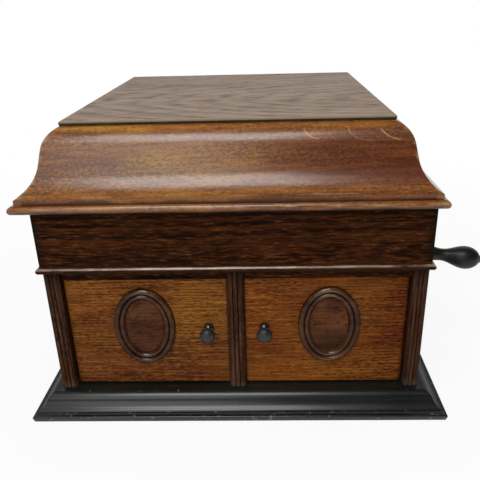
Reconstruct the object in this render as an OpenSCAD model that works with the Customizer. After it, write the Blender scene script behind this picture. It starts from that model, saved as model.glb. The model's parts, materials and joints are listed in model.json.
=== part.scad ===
// Tabletop gramophone: an oak case on a black moulded plinth, a lid with ogee mouldings,
// two doors with oval mouldings over the horn's mouth, and a spring motor inside.
// X runs to the right, Y to the back and Z up. The origin is the middle of the plinth's underside.

/* [Case] */
// Width of the lower case over its corner stiles
body_w = 411.5; // [400:0.5:430]
// Depth of the lower case, from the stiles' face to the back
body_d = 422.4; // [412:0.2:440]
// Thickness of the case boards
wall = 14; // [12:0.5:16]
// Height of the lower case, from the plinth to the waist bead
front_h = 146.7; // [140:0.1:160]
// Height of the waist bead
bead_h = 8.2; // [6:0.1:10]
// Height of the frieze above the bead
frieze_h = 61; // [58:0.5:70]
// How far the frieze stands past the stiles
frieze_out = 1.25; // [0.5:0.25:3]
// How far the bead's nose stands past the frieze
bead_out = 4; // [3:0.5:6]
// Width of a corner stile
corner_w = 16; // [14:0.5:20]
// Width of the middle stile
middle_w = 17.6; // [14:0.2:24]
// Depth of the stiles from front to back
stile_d = 20; // [17:0.5:24]
// Reeds on the face of each stile
reeds = 3; // [2:1:5]

/* [Plinth] */
// Height of the plinth
plinth_h = 27.5; // [24:0.5:34]
// How far the plinth stands past the stiles
plinth_out = 29.4; // [24:0.2:34]
// Width of the plinth's frame, from its nose inwards
plinth_deep = 60; // [58:1:66]
// Thickness of the bottom board
base_t = 12; // [8:1:16]

/* [Lid] */
// How far the lid's torus stands past the frieze
lid_out = 13; // [9:0.5:18]
// Height of the lid below its top board
lid_h = 78.7; // [70:0.1:86]
// Thickness of the top board's edge
top_t = 4.7; // [4:0.1:9]
// Depth of the top board's tongue inside the mouldings
tongue_t = 4; // [3:0.5:5]
// From the torus to the edge of the top board
top_inset = 49; // [46:0.5:54]
// How far the top board's edge stands past the ogee
top_lip = 0.8; // [0.2:0.1:2]
// Radius of the torus along the lid's foot
torus_r = 5.6; // [4.5:0.1:6.5]
// The lid sits this far to the right of the case
lid_shift = -4.5; // [-6:0.5:4]
// Gap between the case and the closed lid
lid_gap = 0.3; // [0.2:0.1:1]
// Radius of the lid hinges' knuckles
knuckle_r = 3; // [2.6:0.1:4]
// From the lid's hinge to the stay's pivot, and from there to its slider
stay_r = 150; // [140:1:155]

/* [Doors] */
// Thickness of a door
door_t = 13; // [11:0.5:15]
// From the stiles' face back to the doors' face
door_back = 8; // [7:0.5:10]
// Clearance beside a door
door_side = 0.5; // [0.4:0.1:1.5]
// Clearance below a door
door_foot = 2.5; // [1:0.5:4]
// Height of the rail above the doors
head_h = 12; // [10:0.5:18]
// Width of an oval moulding
oval_w = 68.5; // [60:0.5:80]
// Height of an oval moulding
oval_h = 93; // [80:1:106]
// Width of the band of an oval moulding
oval_band = 13; // [10:0.5:14]
// How far an oval moulding stands off its door
oval_t = 5.5; // [4:0.5:7]
// From the middle of the case to the middle of an oval
oval_x = 103; // [95:0.5:108]
// Height of the ovals' middle above the plinth
oval_up = 77.5; // [68:0.5:80]
// From the middle of the case to a knob
knob_x = 31; // [24:0.5:36]
// Height of the knobs above the plinth
knob_up = 76.5; // [40:0.5:110]
// Diameter of a knob's head
knob_d = 17; // [14:0.5:20]
// Length of a knob
knob_l = 29; // [24:0.5:32]

/* [Crank] */
// From the winding shaft to the handle's foot
crank_throw = 96; // [85:1:105]
// Angle of the arm below level at rest
crank_down = 39.2; // [20:0.2:60]
// Outward splay of the handle
crank_splay = 9.2; // [0:0.2:12]
// Diameter of the crank's rod
crank_rod = 9; // [8:0.5:10]
// From the frieze to the middle of the arm
crank_reach = 20.5; // [18:0.5:30]
// The winding shaft lies this far behind the middle of the plinth
crank_y = 5.7; // [0:0.1:12]
// Length of the wooden handle
handle_l = 66; // [60:0.2:80]
// Diameter of the handle's bulb
handle_d = 28.8; // [26:0.2:34]
// Diameter of the handle's neck
handle_neck = 15.2; // [13:0.2:18]

/* [Works] */
// The motor board lies this far below the case's rim
board_down = 21.4; // [20:0.2:23]
// Thickness of the motor board
board_t = 12; // [10:0.5:13]
// Diameter of the turntable
platter_d = 300; // [290:1:304]
// Height of the turntable's felt above the motor board
platter_up = 17; // [16:0.5:19]
// Depth of the turntable's rim
rim_h = 12; // [8:0.5:12]
// Diameter of the record spindle
spindle_d = 7; // [6:0.1:7.5]
// Diameter of the spring barrel
barrel_d = 74; // [66:1:76]
// Height of the spring barrel
barrel_h = 34; // [30:1:35]
// Height of the tone arm above the motor board
arm_up = 54; // [53:0.5:56]
// Diameter of the sound box
box_d = 48; // [44:1:50]
// Radial clearance of a running fit
run_fit = 0.05; // [0.03:0.01:0.08]

/* [Hidden] */
$fn = 48;
e = 0.01;

// Heights, from the ground up
stile_top = plinth_h + front_h;
frieze_foot = stile_top + bead_h;
rim_z = frieze_foot + frieze_h;
lid_z = rim_z + lid_gap;
top_z = lid_z + lid_h;
crown_z = top_z + top_t;
ceiling_z = top_z - tongue_t;
board_top = rim_z - board_down;
board_foot = board_top - board_t;
door_z = plinth_h + door_foot;
door_top = stile_top - head_h - 0.6;

// Planes and half widths
back_y = (body_d + plinth_out) / 2;
stile_y = back_y - body_d;
half_body = body_w / 2;
half_frieze = half_body + frieze_out;
frieze_y = stile_y - frieze_out;
half_bead = half_frieze + bead_out;
bead_y = frieze_y - bead_out;
half_lid = half_frieze + lid_out;
lid_y = frieze_y - lid_out;
half_plinth = half_body + plinth_out;
plinth_y = stile_y - plinth_out;
door_y = stile_y + door_back;
door_in = door_y + door_t;
inner_x = half_frieze - wall;
inner_front = frieze_y + wall;
inner_back = back_y - wall;

// The lid's stay is as long as its pivot's distance from the hinge, so that its slider
// runs on a straight line through the hinge and it turns twice as fast as the lid
hinge_y = back_y + knuckle_r + 0.2;
hinge_z = lid_z - lid_gap / 2;
stay_t = 3;
stay_w = 12;
stay_pin = 5;
stay_rise = 3.2;
rail_fall = 2;
rail_t = 3;
rail_w = 12;
rail_x = inner_x - 6;
stay_y = hinge_y - stay_r * cos(stay_rise);
stay_z = hinge_z + stay_r * sin(stay_rise);
lid_open = 75;
slide_far = 2 * stay_r * cos(stay_rise + rail_fall);
slide_near = 2 * stay_r * cos(stay_rise + rail_fall + lid_open);

// Doors turn on pins at their outer edges, which are round about the pins
pin_r = 2;
pin_l = 8;
pivot_x = half_body - corner_w - door_side - door_t / 2;
pivot_y = door_y + door_t / 2;

// Turntable, tone arm and motor, from above
platter_r = platter_d / 2;
spindle_r = spindle_d / 2;
shaft_r = spindle_r + 0.8;
pin_up = 8;
turn_c = [-inner_x + platter_r + 15, inner_front + platter_r + 13.8];
arm_c = [inner_x - 73, inner_back - 52];
arm_reach = norm(arm_c - turn_c) - 28;
arm_park = 12;
felt_t = 1.5;
platter_z = board_top + platter_up;
arm_z = board_top + arm_up;
box_side = 26;
box_t = 12;
record_t = 2.2;
needle_l = arm_z - box_d / 2 - platter_z - record_t;

// Horn, in boards, from the throat to the mouth
horn_t = 8;
strip_t = 6;
mouth_y = door_in + 4;
mouth_x = half_body - wall - horn_t - 3.8;
mouth_floor = plinth_h + strip_t;
mouth_roof = stile_top - head_h - 2;
throat_y = arm_c[1] - 40;
throat_w = 56;
throat_h = 40;
throat_z = plinth_h + 54.5;
pipe_r = 17;
pipe_bore = 14;
pipe_bend = 30;

// Motor, hung below the motor board
plate_t = 4;
motor_foot = board_foot - 72;
arbor_r = 4;
stem_r = 2.5;
great_n = 48;
great_m = 1.5;
leaf_n = 12;
wheel_n = 40;
wheel_m = 1.25;
mesh_a = great_m * (great_n + leaf_n) / 2;
mesh_b = wheel_m * (wheel_n + leaf_n) / 2;
barrel_far = 68.7;
crank_z = board_foot - 10;
barrel_c = [turn_c[0] + sqrt(pow(barrel_far, 2) - pow(crank_y - turn_c[1], 2)), crank_y];
mid_c = crossing(turn_c, barrel_c, mesh_b, mesh_a);
crown_n = 36;
drive_n = 10;
crown_r = 20.5;
drive_r = crown_r * drive_n / crown_n;
drive_m = 2 * drive_r / drive_n;
barrel_z = motor_foot + 17;
great_z = barrel_z - 5;
worm_n = 30;
worm_m = 1;
worm_starts = 3;
worm_r = 5;
worm_z = motor_foot + 35;
gov_axle = 2;
gov_x = turn_c[0] - worm_m * worm_n / 2 - worm_r;
gov_y0 = turn_c[1] - 26;
gov_y1 = turn_c[1] + 66;
press_a = 25;

// Points on an arc about c, from angle a0 to a1
function arc(c, r, a0, a1, n = 8) =
    [for (i = [0:n]) let (a = a0 + (a1 - a0) * i / n) [c[0] + r * cos(a), c[1] + r * sin(a)]];

// Smooth step from a to b as t goes from 0 to 1
function ease(a, b, t) = a + (b - a) * (1 - cos(180 * t)) / 2;

// The point at distance ra from a and rb from b, on the left of the way from a to b
function crossing(a, b, ra, rb) =
    let (d = norm(b - a), t = (d * d + ra * ra - rb * rb) / (2 * d), h = sqrt(ra * ra - t * t))
    a + (b - a) * t / d + [-(b - a)[1], (b - a)[0]] * h / d;

// An ogee from [u0, z0] down to [u1, z1]: a convex arc, a straight and a cove.
// Its slope below level is at first top_a, in the straight mid_a and at last foot_a.
function ogee(u0, z0, u1, z1, r, top_a, mid_a, foot_a) =
    let (
        du = (u0 - u1) - r * (sin(mid_a) - sin(top_a)),
        dz = (z0 - z1) - r * (cos(top_a) - cos(mid_a)),
        det = cos(mid_a - foot_a) - 1,
        len = (du * (cos(foot_a) - cos(mid_a)) - dz * (sin(mid_a) - sin(foot_a))) / det,
        cove = (dz * cos(mid_a) - du * sin(mid_a)) / det,
        us = u0 - r * (sin(mid_a) - sin(top_a)) - len * cos(mid_a),
        zs = z0 - r * (cos(top_a) - cos(mid_a)) - len * sin(mid_a)
    )
    concat(
        [for (i = [0:8]) let (a = top_a + (mid_a - top_a) * i / 8)
            [u0 - r * (sin(a) - sin(top_a)), z0 - r * (cos(top_a) - cos(a))]],
        [for (i = [0:8]) let (a = mid_a + (foot_a - mid_a) * i / 8)
            [us - cove * (sin(mid_a) - sin(a)), zs - cove * (cos(a) - cos(mid_a))]]);

// Outlines of the mouldings: u runs inwards from the nose and z up
lid_outer = concat(
    ogee(top_inset + top_lip, top_z, 5.9, lid_z + 13.9, 28, 20, 77, 28),
    [[5.9, lid_z + 2 * torus_r - 0.2]],
    arc([torus_r, lid_z + torus_r - 0.2], torus_r, 90, 252));
lid_inner = [
    [24, lid_z], [24, lid_z + 14], [36, lid_z + 31], [42, lid_z + 56],
    [top_inset + 6, top_z - 7], [top_inset + 6, top_z]];
lid_profile = concat(lid_outer, lid_inner);
bead_profile = concat(
    [[bead_out, frieze_foot], [bead_out - 1.8, frieze_foot - 2.2]],
    arc([2.2, stile_top + 2.4], 2.2, 130, 236),
    [[1.6, stile_top], [bead_out, stile_top]]);
plinth_profile = concat(
    [[plinth_deep, plinth_h]],
    ogee(23, plinth_h, 9, 12, 11, 12, 68, 38),
    [[7.2, 10.9], [6.5, 9.6], [4.6, 9.1], [4.2, 7.7], [2.4, 7.4]],
    arc([1.6, 5.8], 1.6, 90, 180, 4),
    [[1.5, 0], [plinth_deep, 0]]);

// A moulding that runs along X, its nose at y = front
module run_x(profile, x0, x1, front) {
    translate([x0, 0, 0]) rotate([90, 0, 90])
        linear_extrude(x1 - x0) polygon([for (p = profile) [front + p[0], p[1]]]);
}

// A moulding that runs along Y, its nose at x = edge on the given side
module run_y(profile, edge, side, y0, y1) {
    translate([0, y1, 0]) rotate([90, 0, 0])
        linear_extrude(y1 - y0) polygon([for (p = profile) [side * (edge - p[0]), p[1]]]);
}

// Front run, mitred at both ends
module mitred_front(profile, edge, front, deep) {
    intersection() {
        run_x(profile, -edge - 1, edge + 1, front);
        linear_extrude(crown_z + 10)
            polygon([
                [-edge - 1, front - 1], [edge + 1, front - 1],
                [edge - deep, front + deep], [-edge + deep, front + deep]]);
    }
}

// Side run, mitred at the front and square at y = back
module mitred_side(profile, edge, front, back, deep, side) {
    intersection() {
        run_y(profile, edge, side, front - 1, back);
        linear_extrude(crown_z + 10)
            polygon([
                [side * (edge + 1), front - 1], [side * (edge - deep), front + deep],
                [side * (edge - deep), back], [side * (edge + 1), back]]);
    }
}

module block(x0, x1, y0, y1, z0, z1) {
    translate([x0, y0, z0]) cube([x1 - x0, y1 - y0, z1 - z0]);
}

// A board that lies on the left for side -1 and on the right for side 1
module side_block(side, x0, x1, y0, y1, z0, z1) {
    block(side > 0 ? x0 : -x1, side > 0 ? x1 : -x0, y0, y1, z0, z1);
}

// A pipe along Z
module pipe(r, bore, h) {
    difference() {
        cylinder(r = r, h = h);
        translate([0, 0, -1]) cylinder(r = bore, h = h + 2);
    }
}

// A tube bent through angle a: it leaves the origin along +Z and bends towards +X
module bent_pipe(bend, a, r, bore = 0) {
    translate([bend, 0, 0]) rotate([90, 0, 0]) rotate([0, 0, 180 - a])
        rotate_extrude(angle = a) translate([bend, 0]) difference() {
            circle(r = r);
            if (bore > 0) circle(r = bore);
        }
}

// A spur gear's outline, with straight-sided involute flanks of few points
function flank(rb, r) = let (t = sqrt(max(0, pow(r / rb, 2) - 1))) t * 180 / PI - atan(t);
module gear(n, m, play = 0.3) {
    rp = n * m / 2;
    rb = rp * cos(press_a);
    rf = rp - 1.2 * m;
    ra = rp + 0.85 * m;
    r0 = max(rb, rf);
    half = 90 / n - play / rp / 4 * 180 / PI + flank(rb, rp);
    polygon([for (i = [0:n - 1], k = [-3:3]) let (
        s = sign(k),
        r = abs(k) == 3 ? rf : abs(k) == 2 ? r0 + (ra - r0) * 0.4 : ra,
        b = k == 0 ? 0 : half - flank(rb, max(r, rb)),
        a = 360 * i / n + s * (abs(k) == 3 ? half : b))
        if (k != 0) [r * cos(a), r * sin(a)]]);
}

// Face of a stile with upright reeds, in plan: x across and y back from the face
module reeded(w, d) {
    edge = 1.2;
    r = (w - 2 * edge) / reeds / 2;
    translate([-w / 2, r]) square([w, d - r]);
    for (i = [0:reeds - 1])
        translate([-w / 2 + edge + r * (2 * i + 1), r]) circle(r = r);
}

// Case
module plinth() {
    color("#23241f") difference() {
        union() {
            mitred_front(plinth_profile, half_plinth, plinth_y, plinth_deep);
            for (side = [-1, 1])
                mitred_side(plinth_profile, half_plinth, plinth_y, back_y, plinth_deep, side);
            block(-half_plinth + plinth_deep - e, half_plinth - plinth_deep + e,
                back_y - plinth_deep, back_y, 0, plinth_h);
        }
        for (side = [-1, 1])
            translate([side * pivot_x, pivot_y, plinth_h - pin_l]) cylinder(r = pin_r + run_fit, h = pin_l + 1);
    }
}

module base_board() {
    x = half_plinth - plinth_deep;
    color("#6a4b2c")
        block(-x, x, plinth_y + plinth_deep, back_y - plinth_deep, 0, base_t);
}

module side_board(side) {
    color("#5d3d22")
        side_block(side, half_body - wall, half_body, stile_y + stile_d, back_y - wall, plinth_h, stile_top);
}

module side_left() { side_board(-1); }

module side_right() { side_board(1); }

module back_panel() {
    color("#5d3d22") block(-half_body, half_body, back_y - wall, back_y, plinth_h, stile_top);
}

module corner_stile(side) {
    color("#4b3122")
        translate([side * (half_body - corner_w / 2), stile_y, plinth_h])
            linear_extrude(front_h) reeded(corner_w, stile_d);
}

module corner_stile_left() { corner_stile(-1); }

module corner_stile_right() { corner_stile(1); }

module centre_stile() {
    color("#4b3122") difference() {
        translate([0, stile_y, plinth_h]) linear_extrude(front_h)
            reeded(middle_w, mouth_y - stile_y);
        block(-middle_w, middle_w, door_y, mouth_y + 1, stile_top - head_h, stile_top + 1);
    }
}

module door_head_rail() {
    x = half_body - corner_w;
    color("#3a2414") difference() {
        block(-x, x, door_y, mouth_y, stile_top - head_h, stile_top);
        for (side = [-1, 1])
            translate([side * pivot_x, pivot_y, stile_top - head_h - 1])
                cylinder(r = pin_r + run_fit, h = pin_l + 1);
    }
}

module frieze_front() {
    color("#35200f")
        block(-half_frieze, half_frieze, frieze_y, inner_front, stile_top, rim_z);
}

// Side of the upper case, with the ledge that carries the motor board
module frieze_side(side) {
    color("#35200f") difference() {
        union() {
            side_block(side, inner_x, half_frieze, inner_front, inner_back, stile_top, rim_z);
            side_block(side, inner_x - 12, inner_x + e, inner_front, inner_back, board_foot - wall, board_foot);
        }
        if (side > 0)
            translate([inner_x - 13, crank_y, crank_z]) rotate([0, 90, 0])
                cylinder(r = bush_r, h = wall + 14);
    }
}

module frieze_left() { frieze_side(-1); }

module frieze_right() { frieze_side(1); }

module frieze_back() {
    color("#35200f") block(-half_frieze, half_frieze, inner_back, back_y, stile_top, rim_z);
}

module waist_bead() {
    deep = bead_out;
    color("#1d130c") {
        mitred_front(bead_profile, half_bead, bead_y, deep);
        for (side = [-1, 1])
            mitred_side(bead_profile, half_bead, bead_y, back_y, deep, side);
    }
}

// Motor board, with holes for the spindle, the horn's pipe and the needle cups
cup_r = 17;
cup_c = [[inner_x - 34, inner_front + 32], [-inner_x + 30, inner_front + 30]];
module motor_board() {
    color("#57351c") difference() {
        block(-inner_x, inner_x, inner_front, inner_back, board_foot, board_top);
        translate([turn_c[0], turn_c[1], board_foot - 1]) cylinder(r = spindle_r + 5, h = board_t + 2);
        translate([arm_c[0], arm_c[1], board_foot - 1]) cylinder(r = pipe_r, h = board_t + 2);
        translate([barrel_c[0] + crown_r, crank_y, board_foot - 1]) cylinder(r = 14, h = 4);
        translate([brake_c[0], brake_c[1], board_foot - 1]) cylinder(r = brake_pin + run_fit, h = board_t + 2);
        for (c = cup_c) translate([c[0], c[1], board_foot - 1]) cylinder(r = cup_r, h = board_t + 2);
    }
}

// Horn: two curved boards between two straight cheeks
function way(y) = (throat_y - y) / (throat_y - mouth_y);
function roof_z(y) = throat_z + throat_h / 2 + (mouth_roof - throat_z - throat_h / 2) * pow(way(y), 2.2);
function floor_z(y) = mouth_floor + (throat_z - throat_h / 2 - mouth_floor) * pow(1 - way(y), 1.3);
horn_y = [for (i = [0:10]) mouth_y + (throat_y - mouth_y) * i / 10];

// Plan of the horn, widened by grow past its cheeks' inner faces
module horn_plan(grow) {
    polygon([
        [-mouth_x - grow, mouth_y], [mouth_x + grow, mouth_y],
        [arm_c[0] + throat_w / 2 + grow, throat_y], [arm_c[0] - throat_w / 2 - grow, throat_y]]);
}

module horn_strip(low, high) {
    intersection() {
        translate([-half_body, 0, 0]) rotate([90, 0, 90]) linear_extrude(body_w)
            polygon(concat(
                [for (i = [0:10]) [horn_y[i], low[i]]],
                [for (i = [10:-1:0]) [horn_y[i], high[i]]]));
        linear_extrude(stile_top) horn_plan(horn_t);
    }
}

module horn_floor() {
    color("#3d2817")
        horn_strip([for (y = horn_y) floor_z(y) - strip_t], [for (y = horn_y) floor_z(y)]);
}

module horn_roof() {
    color("#3d2817")
        horn_strip([for (y = horn_y) roof_z(y)], [for (y = horn_y) roof_z(y) + strip_t]);
}

module horn_cheeks() {
    color("#3d2817") intersection() {
        translate([-half_body, 0, 0]) rotate([90, 0, 90]) linear_extrude(body_w)
            polygon(concat(
                [for (y = horn_y) [y, floor_z(y)]],
                [for (i = [10:-1:0]) [horn_y[i], roof_z(horn_y[i])]]));
        linear_extrude(stile_top) difference() {
            horn_plan(horn_t);
            horn_plan(0);
        }
    }
}

// Cast elbow from the tone arm's foot down into the back of the horn
module horn_throat() {
    color("#2b2b2d") translate([arm_c[0], arm_c[1], 0]) {
        difference() {
            union() {
                translate([0, 0, throat_z + pipe_bend]) cylinder(r = pipe_r, h = board_top - throat_z - pipe_bend);
                translate([0, -pipe_bend, throat_z]) rotate([90, 0, 0]) cylinder(r = pipe_r, h = 40 - pipe_bend);
                translate([-throat_w / 2 - horn_t, -40, throat_z - throat_h / 2 - strip_t])
                    cube([throat_w + 2 * horn_t, 4, throat_h + 2 * strip_t]);
            }
            translate([0, 0, throat_z + pipe_bend - e]) cylinder(r = pipe_bore, h = board_top);
            translate([0, -pipe_bend + e, throat_z]) rotate([90, 0, 0]) cylinder(r = pipe_bore, h = 40);
        }
        translate([0, 0, throat_z + pipe_bend]) rotate([180, 0, 0]) rotate([0, 0, 90])
            bent_pipe(pipe_bend, 90, pipe_r, pipe_bore);
    }
}

// Flange and socket that the tone arm turns in
socket_r = 13;
socket_h = 28;
flange_r = 31;
module tonearm_bracket() {
    color("#c9b06a") translate([arm_c[0], arm_c[1], board_top]) difference() {
        union() {
            cylinder(r = flange_r, h = 4);
            cylinder(r = 18.5, h = socket_h);
        }
        translate([0, 0, -1]) cylinder(r = socket_r + run_fit, h = socket_h + 2);
    }
}

// Brass bush in the right-hand wall, with its round plate outside
bush_r = 9;
module crank_bush() {
    color("#b08d4b") translate([inner_x - 12, crank_y, crank_z]) rotate([0, 90, 0]) difference() {
        union() {
            cylinder(r = bush_r, h = wall + 12);
            translate([0, 0, wall + 12]) cylinder(r = 17, h = 2.5);
        }
        translate([0, 0, -1]) cylinder(r = crank_rod / 2 + run_fit, h = wall + 20);
    }
}

module needle_cups() {
    color("#c8c8c4") for (c = cup_c) translate([c[0], c[1], board_foot]) {
        difference() {
            union() {
                cylinder(r = cup_r, h = board_t + 1.5);
                translate([0, 0, board_t]) cylinder(r = cup_r + 4, h = 1.5);
            }
            translate([0, 0, 1.5]) cylinder(r = cup_r - 1.5, h = board_t + 2);
        }
    }
}

// Speed regulator: a round dial on the motor board and a pointer that turns on its pin
dial_c = [inner_x - 84, inner_front + 26];
dial_r = 21;
module speed_dial() {
    color("#d8d4c6") translate([dial_c[0], dial_c[1], board_top]) {
        cylinder(r = dial_r, h = 1.5);
        cylinder(r = 3, h = 7);
    }
}

module speed_lever() {
    color("#c8c8c4") translate([dial_c[0], dial_c[1], board_top + 1.8]) {
        pipe(6, 3 + run_fit, 5);
        translate([-2.2, 5.4, 0]) cube([4.4, 11, 2.5]);
        translate([0, 15.5, 0]) cylinder(r = 3.2, h = 9);
    }
}

// Slotted rail for the stay's slider, in its own frame: along the line from the hinge
module on_rail() {
    translate([0, hinge_y, hinge_z]) rotate([rail_fall, 0, 0]) children();
}

module stay_rail() {
    end = 10;
    color("#a8884c") on_rail() difference() {
        union() {
            block(rail_x - rail_t, rail_x, -slide_far - end, -slide_near + end, -rail_w / 2, rail_w / 2);
            for (y = [-slide_far - end + 3.5, -slide_near + end - 3.5])
                translate([rail_x - e, y, 3 - rail_w / 2]) rotate([0, 90, 0])
                    cylinder(r = 3, h = inner_x - rail_x);
        }
        block(rail_x - rail_t - 1, rail_x + 1, -slide_far, -slide_near, -stay_pin / 2 - 0.3, stay_pin / 2 + 0.3);
        for (y = [-slide_far, -slide_near])
            translate([rail_x - rail_t - 1, y, 0]) rotate([0, 90, 0])
                cylinder(r = stay_pin / 2 + 0.3, h = rail_t + 2);
    }
}

// Brass arm from the lid down to its slider, pivoted on the lid's bracket
module lid_stay() {
    far_y = hinge_y - slide_far * cos(rail_fall);
    far_z = hinge_z - slide_far * sin(rail_fall);
    lean = atan2(far_z - stay_z, far_y - stay_y);
    x0 = rail_x - rail_t - 0.5 - stay_t;
    color("#a8884c") {
        translate([x0, stay_y, stay_z]) rotate([lean, 0, 0]) difference() {
            union() {
                rotate([0, 90, 0]) cylinder(r = stay_w / 2, h = stay_t);
                block(0, stay_t, 0, stay_r, -stay_w / 2 + 2, stay_w / 2 - 2);
                translate([0, stay_r, 0]) rotate([0, 90, 0]) cylinder(r = stay_w / 2 - 1, h = stay_t);
            }
            translate([-1, 0, 0]) rotate([0, 90, 0]) cylinder(r = 2.5 + run_fit, h = stay_t + 2);
        }
        translate([x0 + stay_t - e, far_y, far_z]) rotate([0, 90, 0])
            cylinder(r = stay_pin / 2, h = rail_t + 1.5);
    }
}

// Bracket inside the lid's right-hand moulding, with the pin that carries the stay
module stay_bracket() {
    x0 = rail_x - rail_t - 0.5 - stay_t;
    x1 = half_lid + lid_shift - 24;
    color("#a8884c") {
        block(x0 + stay_t + 0.4, x1 - 2, stay_y - 7, stay_y + 7, stay_z - 7, stay_z + 3);
        block(x1 - 2, x1, stay_y - 16, stay_y + 16, lid_z + 0.2, lid_z + 13);
        translate([x0 - 1.5, stay_y, stay_z]) rotate([0, 90, 0]) cylinder(r = 2.5, h = stay_t + 2.4);
        translate([x0 - 2.5, stay_y, stay_z]) rotate([0, 90, 0]) cylinder(r = 4, h = 2);
    }
}

// Butt hinges on the back: leaves on the boards, knuckles behind the joint
hinge_l = 50;
hinge_x = 130;
hinge_pin = 1.5;
leaf_t = 1.6;
leaf_h = 24;
turn_l = hinge_l / 5;
turn_gap = 0.15;
module leaf(z0, z1, turns) {
    for (x = [-hinge_x, hinge_x]) translate([x - hinge_l / 2, 0, 0]) {
        block(0, hinge_l, back_y, back_y + leaf_t, z0, z1);
        for (i = turns)
            translate([i * turn_l + turn_gap, hinge_y, hinge_z]) rotate([0, 90, 0])
                pipe(knuckle_r, hinge_pin + run_fit, turn_l - 2 * turn_gap);
    }
}

// Room in a leaf for the other leaf's knuckles, from z0 to z1
module leaf_notches(turns, z0, z1) {
    for (x = [-hinge_x, hinge_x], i = turns)
        translate([x - hinge_l / 2 + i * turn_l - turn_gap, 0, 0])
            block(0, turn_l + 2 * turn_gap, back_y - 1, hinge_y + knuckle_r + 1, z0, z1);
}

module case_hinge_leaves() {
    color("#b08d4b") {
        difference() {
            leaf(rim_z - leaf_h, hinge_z - 0.2, [0, 2, 4]);
            leaf_notches([1, 3], hinge_z - knuckle_r - 1, hinge_z + knuckle_r + 1);
        }
        for (x = [-hinge_x, hinge_x]) translate([x - hinge_l / 2, hinge_y, hinge_z]) rotate([0, 90, 0])
            cylinder(r = hinge_pin, h = hinge_l);
    }
}

module lid_hinge_leaves() {
    color("#b08d4b") difference() {
        leaf(hinge_z + 0.2, lid_z + leaf_h, [1, 3]);
        leaf_notches([0, 2, 4], hinge_z - knuckle_r - 1, hinge_z + knuckle_r + 1);
    }
}

// Lid
module lid_top_board() {
    x = half_lid - top_inset;
    front = lid_y + top_inset;
    nose = 1.6;
    deep = back_y - front;
    corner = arc([nose, crown_z - nose], nose, 90, 180, 4);
    color("#7a6650") translate([lid_shift, 0, 0]) {
        intersection() {
            run_x(concat([[deep, top_z], [deep, crown_z]], corner, [[0.6, top_z]]), -x, x, front);
            run_y(concat([[2 * x - 0.6, top_z]], [for (i = [4:-1:0]) [2 * x - corner[i][0], corner[i][1]]],
                    corner, [[0.6, top_z]]),
                x, 1, front - 1, back_y + 1);
        }
        block(-x + 6.1, x - 6.1, front + 6.1, back_y - wall - 0.1, ceiling_z, top_z);
    }
}

module lid_moulding_front() {
    color("#9a6b3a") translate([lid_shift, 0, 0])
        mitred_front(lid_profile, half_lid, lid_y, top_inset + 6);
}

module lid_side(side) {
    color("#9a6b3a") translate([lid_shift, 0, 0])
        mitred_side(lid_profile, half_lid, lid_y, back_y - wall, top_inset + 6, side);
}

module lid_moulding_left() { lid_side(-1); }

module lid_moulding_right() { lid_side(1); }

module lid_back_board() {
    color("#8a5f34") translate([lid_shift, back_y, 0]) rotate([90, 0, 0]) linear_extrude(wall)
        polygon(concat(
            [for (p = lid_outer) [half_lid - p[0], p[1]]],
            [for (i = [len(lid_outer) - 1:-1:0]) [-half_lid + lid_outer[i][0], lid_outer[i][1]]]));
}

// Doors, drawn for the right side and mirrored for the left
module for_side(side) {
    mirror([side < 0 ? 1 : 0, 0, 0]) children();
}

module door(side) {
    inner = middle_w / 2 + door_side + 0.1;
    z = (door_z + door_top) / 2;
    for_side(side) {
        color("#9c5f2e") difference() {
            union() {
                block(inner, pivot_x, door_y, door_in, door_z, door_top);
                translate([pivot_x, pivot_y, door_z]) cylinder(r = door_t / 2, h = door_top - door_z);
            }
            translate([pivot_x, pivot_y, door_z - 1]) cylinder(r = pin_r + run_fit, h = 16);
            translate([pivot_x, pivot_y, door_top - 15]) cylinder(r = pin_r + run_fit, h = 16);
        }
        color("#b08d4b") {
            translate([pivot_x, pivot_y, plinth_h - pin_l + 0.3]) cylinder(r = pin_r, h = pin_l + door_foot + 14);
            translate([pivot_x, pivot_y, door_top - 14]) cylinder(r = pin_r, h = pin_l + 14);
        }
    }
}

// Section of an oval moulding: a full outer bead, a lower inner one and a thin lip
bead_outer = 3.1;
bead_inner = 2.7;
oval_section = concat(
    [[0, 0]], arc([bead_outer, oval_t - bead_outer], bead_outer, 180, 20, 6),
    arc([oval_band - 4, oval_t - bead_inner - 1], bead_inner, 150, 10, 5),
    [[oval_band - 1, 1.9], [oval_band, 1.5], [oval_band, 0]]);
module oval_ring(side) {
    n = 48;
    k = len(oval_section);
    color("#3c2413")
        translate([side * oval_x, door_y, plinth_h + oval_up]) rotate([90, 0, 0])
            polyhedron(
                points = [for (i = [0:n - 1], p = oval_section) let (a = 360 * i / n)
                    [(oval_w / 2 - p[0]) * cos(a), (oval_h / 2 - p[0]) * sin(a), p[1]]],
                faces = [for (i = [0:n - 1], j = [0:k - 1]) let (
                        a = i * k + j, b = i * k + (j + 1) % k,
                        c = ((i + 1) % n) * k + (j + 1) % k, d = ((i + 1) % n) * k + j)
                    each [[a, b, c], [a, c, d]]]);
}

// Thin oval panel inside the ring
module oval_panel(side) {
    n = 48;
    w = oval_w / 2 - oval_band - 0.2;
    h = oval_h / 2 - oval_band - 0.2;
    color("#4a2415")
        translate([side * oval_x, door_y, plinth_h + oval_up]) rotate([90, 0, 0])
            linear_extrude(1.5) polygon([for (i = [0:n - 1]) [w * cos(360 * i / n), h * sin(360 * i / n)]]);
}

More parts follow.
